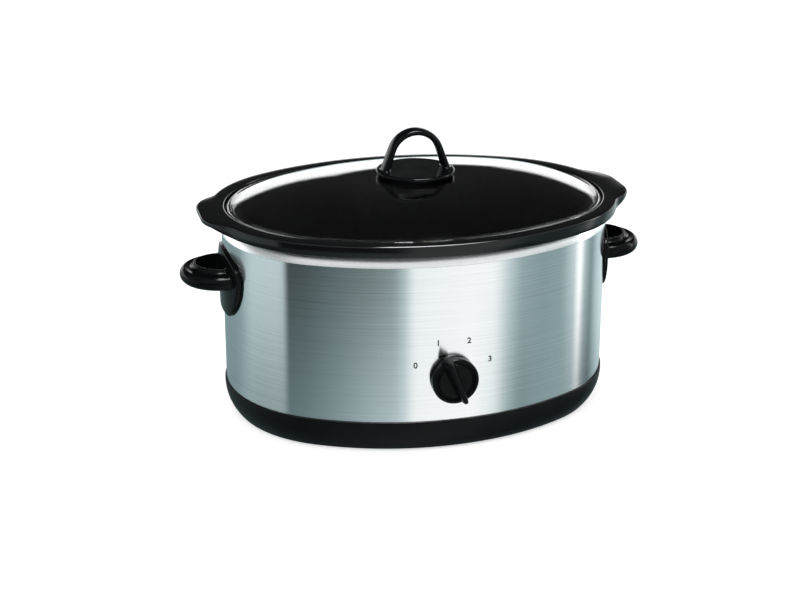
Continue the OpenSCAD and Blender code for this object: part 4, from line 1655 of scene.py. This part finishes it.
    def pane(self) -> None:
        """The glass: a rolled edge and a shallow dome, flat in the middle."""
        run = self.skirt_d - self.crown_d
        radius = (run * run + self.rise * self.rise) / (2 * self.rise)
        half = math.degrees(math.asin(run / radius))
        top_c = (self.crown_d, self.dome - radius)
        edge = (self.glass_d - self.bead, self.seat + self.gap + self.bead)
        outer = arc(top_c, radius, 90.0 - half, 90.0, 22)
        inner = arc(top_c, radius - self.glass, 90.0, 90.0 - half, 22)
        profile = (
            # The underside of the dome, from the crown outwards.
            [(self.crown_d - 0.006, self.dome - self.glass)] + inner
            + [(edge[0] - 0.0068, edge[1] + 0.0006), (edge[0] - 0.0046, edge[1] - 0.0004),
               (edge[0] - 0.0030, edge[1] - 0.0012)]
            # The rolled edge.
            + arc(edge, self.bead, 225.0, 450.0, 18)
            + [(edge[0] - 0.0008, edge[1] + self.bead + 0.0001),
               (edge[0] - 0.0018, edge[1] + self.bead + 0.0004),
               (edge[0] - 0.0030, edge[1] + self.bead + 0.0009)]
            # Back up over the dome.
            + outer + [(self.crown_d - 0.006, self.dome)])
        pane = self.shop.sweeper.sweep("lid_pane", profile, self.shop.materials[Slot.GLASS],
                                       closed=False, sharp=60.0, edit=self._close)
        self.shop.seat(pane, Body.LID, Slot.GLASS, "lid_glass")


# --------------------------------------------------------------------------- studio


@dataclass(frozen=True)
class Card:
    """Where a reflecting card round the studio starts, ends or peaks.

    Attributes:
        bearing: degrees from the front towards +X.
        low: how bright it is below the table's far edge.
        high: how bright it is above that.
    """

    bearing: float
    low: float
    high: float

    @staticmethod
    def tint(level: float) -> Colour:
        """The colour of a card, linear: the dimmer it is, the cooler its grey."""
        cool = 0.38 * math.sqrt(max(1.0 - level / 1.12, 0.0))
        return (level * (1 - cool), level * (1 - 0.12 * cool), level)


@dataclass(frozen=True)
class Strip:
    """A strip light that only mirror images show.

    Attributes:
        bearing: degrees from the front towards +X.
        width: its width, degrees.
        low: height of its lower end, degrees.
        high: height of its upper end, degrees.
        level: how bright it is.
    """

    bearing: float
    width: float
    low: float
    high: float
    level: float


def grey(level: float) -> tuple[float, float, float, float]:
    """A plain grey, linear."""
    return (level, level, level, 1.0)


@dataclass
class Studio:
    """Camera, pale floor, soft light and the bands that bright metal mirrors.

    Heights are shares of the way from level to straight up. A pair of them is where one tone
    starts to give way to another, and where it has.

    Attributes:
        lens: focal length for a 36 mm wide sensor.
        eye: the camera's place.
        aim: the point it looks at.
        roll: its roll, radians.
        floor_size: half the side of the floor.
        floor_tone: how pale the floor is.
        floor_glow: light that the floor adds where it is looked at.
        soft: strength of the plain light that matt surfaces get.
        cards: the cards all round, whose tones run evenly from one to the next.
        card_edge: heights between the cards' lower and upper tones.
        wall_edge: heights between the cards and the walls over them.
        walls: (bearing, tone) of the walls, which run evenly from one to the next.
        roof_edge: heights between the walls and the dark roof.
        roof: tone of the roof.
        back_turn: bearings, in radians, between the front and the back.
        back_edge: heights at which the back starts.
        back_tones: (share of the way from straight down to straight up, tone) of the back.
        strips: the strip lights over it all.
        strip_soft: width of a strip's soft end, degrees.
        lamps: name, place, side and power of each soft box.
    """

    lens: float = 75.19
    eye: Point3 = (-0.3847, -1.4462, 0.6545)
    aim: Point3 = (-0.0089, 0.0074, 0.1014)
    roll: float = 0.0021
    floor_size: float = 6.0
    floor_tone: float = 0.86
    floor_glow: float = 0.55
    soft: float = 0.62
    cards: tuple[Card, ...] = (
        Card(-180, 0.30, 0.34), Card(-145, 0.30, 0.36), Card(-128, 0.38, 0.42),
        Card(-110, 0.20, 0.85), Card(-82, 0.17, 0.92), Card(-75, 0.18, 0.90),
        Card(-69, 0.32, 0.0), Card(-50, 0.37, 0.0), Card(-36, 0.52, 0.03), Card(-22, 0.75, 0.02),
        Card(-11, 0.86, 0.12), Card(-6, 0.93, 0.52), Card(-2, 1.12, 1.06), Card(26, 1.16, 1.14),
        Card(36, 0.92, 1.24), Card(42, 0.38, 0.92), Card(49, 0.19, 0.55), Card(60, 0.36, 0.40),
        Card(72, 0.42, 0.44), Card(80, 0.30, 0.90), Card(88, 0.20, 1.75), Card(96, 0.0, 0.70),
        Card(108, 0.05, 0.35), Card(120, 0.22, 0.72), Card(138, 0.48, 0.85), Card(180, 0.34, 0.5))
    card_edge: Point2 = (-0.262, -0.228)
    wall_edge: Point2 = (0.03, 0.10)
    walls: tuple[Point2, ...] = ((-180.0, 0.4), (-79.2, 0.45), (-57.6, 0.92), (79.2, 0.92),
                                 (100.8, 0.7), (180.0, 0.4))
    roof_edge: Point2 = (0.58, 0.66)
    roof: float = 0.04
    back_turn: Point2 = (1.75, 2.1)
    back_edge: Point2 = (-0.09, -0.04)
    back_tones: tuple[Point2, ...] = ((0.0, 1.8), (0.562, 1.8), (0.577, 0.03), (1.0, 0.03))
    strips: tuple[Strip, ...] = (Strip(18, 60, 56, 82, 50.0), Strip(94, 9, 4, 34, 6.0))
    strip_soft: float = 2.0
    lamps: tuple[tuple[str, Point3, float, float], ...] = (
        ("key", (-0.9, -1.3, 1.6), 1.2, 16.0), ("fill", (1.3, -0.6, 1.3), 1.4, 8.0))

    def build(self) -> None:
        """Sets up the whole studio."""
        self.camera()
        self.floor()
        self.sky()
        self.lights()
        bpy.context.scene.view_settings.view_transform = "Standard"

    def camera(self) -> None:
        """Places the camera."""
        data = bpy.data.cameras.new("camera")
        data.sensor_width, data.lens = 36.0, self.lens
        camera = bpy.data.objects.new("camera", data)
        bpy.context.scene.collection.objects.link(camera)
        eye, aim = Vector(self.eye), Vector(self.aim)
        turn = (aim - eye).to_track_quat("-Z", "Y") @ Quaternion(UPRIGHT, self.roll)
        camera.location, camera.rotation_mode = eye, "QUATERNION"
        camera.rotation_quaternion = turn
        bpy.context.scene.camera = camera

    def floor(self) -> None:
        """A plain white floor that keeps the shadow and lies outside mirror images."""
        side = self.floor_size
        mesh = mesh_from("floor", [(-side, -side, 0), (side, -side, 0), (side, side, 0),
                                   (-side, side, 0)], [(0, 1, 2, 3)])
        material = bpy.data.materials.new("floor_white")
        material.use_nodes = True
        material.node_tree.nodes.clear()
        sheet = NodeSheet(material.node_tree)
        matt = sheet.add("ShaderNodeBsdfDiffuse", {"Color": grey(self.floor_tone)})
        glow = sheet.add("ShaderNodeEmission", {"Color": grey(1.0),
                                                "Strength": self.floor_glow})
        both = sheet.add("ShaderNodeAddShader", {0: matt.outputs[0], 1: glow.outputs[0]})
        path = sheet.add("ShaderNodeLightPath").outputs
        seen = sheet.math("MAXIMUM", path["Is Camera Ray"], path["Is Transmission Ray"])
        pick = sheet.add("ShaderNodeMixShader", {0: seen, 1: matt.outputs[0],
                                                 2: both.outputs[0]})
        sheet.add("ShaderNodeOutputMaterial", {"Surface": pick.outputs[0]})
        floor = new_object("floor", mesh, material)
        floor.visible_glossy = False

    def sky(self) -> None:
        """The surround: plain soft light, white behind, and studio bands in mirror images."""
        world = bpy.data.worlds.new("studio")
        bpy.context.scene.world = world
        world.use_nodes = True
        world.node_tree.nodes.clear()
        sheet = NodeSheet(world.node_tree)
        way = sheet.add("ShaderNodeTexCoord").outputs["Generated"]
        axes = sheet.add("ShaderNodeSeparateXYZ", {0: way})
        backwards = sheet.math("MULTIPLY", axes.outputs[1], -1.0)
        bearing = sheet.math("ARCTAN2", axes.outputs[0], backwards)
        turn = sheet.math("ADD", sheet.math("DIVIDE", bearing, 2 * math.pi), 0.5)
        height = sheet.math("DIVIDE", sheet.math("ARCSINE", axes.outputs[2]), math.pi / 2)
        lit = self._room(sheet, bearing, turn, height)
        for strip in self.strips:
            lit = sheet.mix(self._strip(sheet, strip, turn, height), lit, grey(strip.level))
        self._choose(sheet, lit, height)

    def _room(self, sheet: NodeSheet, bearing: Socket, turn: Socket,
              height: Socket) -> Socket:
        """Writes the cards, the walls and the roof in front, and the white back.

        Args:
            sheet: the world's nodes.
            bearing: the bearing, radians.
            turn: the bearing as a share of a whole turn, 0.5 in front.
            height: the height.

        Returns:
            The room's colour.
        """
        places = [self._share(card.bearing) for card in self.cards]
        low = sheet.ramp(turn, [(at, Card.tint(card.low))
                                for at, card in zip(places, self.cards)])
        high = sheet.ramp(turn, [(at, Card.tint(card.high))
                                 for at, card in zip(places, self.cards)])
        sides = sheet.mix(sheet.span(height, *self.card_edge), low, high)
        walls = sheet.ramp(turn, [(self._share(at), grey(tone)[:3]) for at, tone in self.walls])
        upper = sheet.mix(sheet.span(height, *self.roof_edge), walls, grey(self.roof))
        front = sheet.mix(sheet.span(height, *self.wall_edge), sides, upper)
        behind = sheet.span(sheet.math("ABSOLUTE", bearing), *self.back_turn)
        back = sheet.math("MULTIPLY", behind, sheet.span(height, *self.back_edge))
        over = sheet.ramp(sheet.span(height, -1.0, 1.0),
                          [(at, grey(tone)[:3]) for at, tone in self.back_tones])
        return sheet.mix(back, front, over)

    @staticmethod
    def _share(bearing: float) -> float:
        """A bearing in degrees as a share of a whole turn, 0.5 in front."""
        return 0.5 + bearing / 360.0

    def _strip(self, sheet: NodeSheet, strip: Strip, turn: Socket,
               height: Socket) -> Socket:
        """Writes the shape of a strip light.

        Args:
            sheet: the world's nodes.
            strip: the strip.
            turn: the bearing as a share of a whole turn, 0.5 in front.
            height: the height.

        Returns:
            A mask, 1 on the strip.
        """
        away = sheet.math("ABSOLUTE", sheet.math("SUBTRACT", turn, self._share(strip.bearing)))
        half, soft = 0.5 * strip.width / 360.0, 0.7 * strip.width / 360.0
        wide = sheet.span(away, half, soft, 1.0, 0.0)
        low = sheet.span(height, (strip.low - self.strip_soft) / 90.0, strip.low / 90.0)
        high = sheet.span(height, strip.high / 90.0, (strip.high + self.strip_soft) / 90.0,
                          1.0, 0.0)
        return sheet.math("MULTIPLY", wide, sheet.math("MULTIPLY", low, high))

    def _choose(self, sheet: NodeSheet, lit: Socket, height: Socket) -> None:
        """Writes what each kind of ray sees.

        Args:
            sheet: the world's nodes.
            lit: the room's colour, which mirror images show.
            height: the height.
        """
        path = sheet.add("ShaderNodeLightPath").outputs
        plain = sheet.add("ShaderNodeBackground", {"Color": grey(1.0), "Strength": self.soft})
        white = sheet.add("ShaderNodeBackground", {"Color": grey(1.0), "Strength": 1.0})
        bands = sheet.add("ShaderNodeBackground", {"Color": lit, "Strength": 1.0})
        through = path["Is Transmission Ray"]
        level = sheet.span(height, 0.0, 0.1, 1.0, 0.0)
        direct = sheet.math("MAXIMUM", path["Is Camera Ray"],
                            sheet.math("MULTIPLY", through, level))
        bright = sheet.math("MAXIMUM", path["Is Glossy Ray"], through)
        mirrored = sheet.add("ShaderNodeMixShader", {0: bright, 1: plain.outputs[0],
                                                     2: bands.outputs[0]})
        seen = sheet.add("ShaderNodeMixShader", {0: direct, 1: mirrored.outputs[0],
                                                 2: white.outputs[0]})
        sheet.add("ShaderNodeOutputWorld", {"Surface": seen.outputs[0]})

    def lights(self) -> None:
        """Hangs the large soft boxes, turned to the cooker's middle."""
        middle = Vector((0, 0, 0.1))
        for name, place, side, power in self.lamps:
            data = bpy.data.lights.new(name, "AREA")
            data.shape, data.size, data.energy = "SQUARE", side, power
            lamp = bpy.data.objects.new(name, data)
            bpy.context.scene.collection.objects.link(lamp)
            lamp.location = place
            lamp.visible_glossy = False
            lamp.rotation_mode = "QUATERNION"
            lamp.rotation_quaternion = (middle - Vector(place)).to_track_quat("-Z", "Y")


def main() -> None:
    """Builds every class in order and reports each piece."""
    logging.basicConfig(level=logging.INFO, format="%(message)s")
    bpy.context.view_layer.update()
    Studio().build()
    shop = Workshop(frame)
    shop.paint_nodes()
    for part in (HeatingBase(shop), Control(shop), Crock(shop), Lid(shop)):
        part.build()
    for piece, body in shop.seated:
        log.info("%s: %d faces on %s", piece.name, len(piece.data.polygons), body.value)


if __name__ == "__main__":
    main()
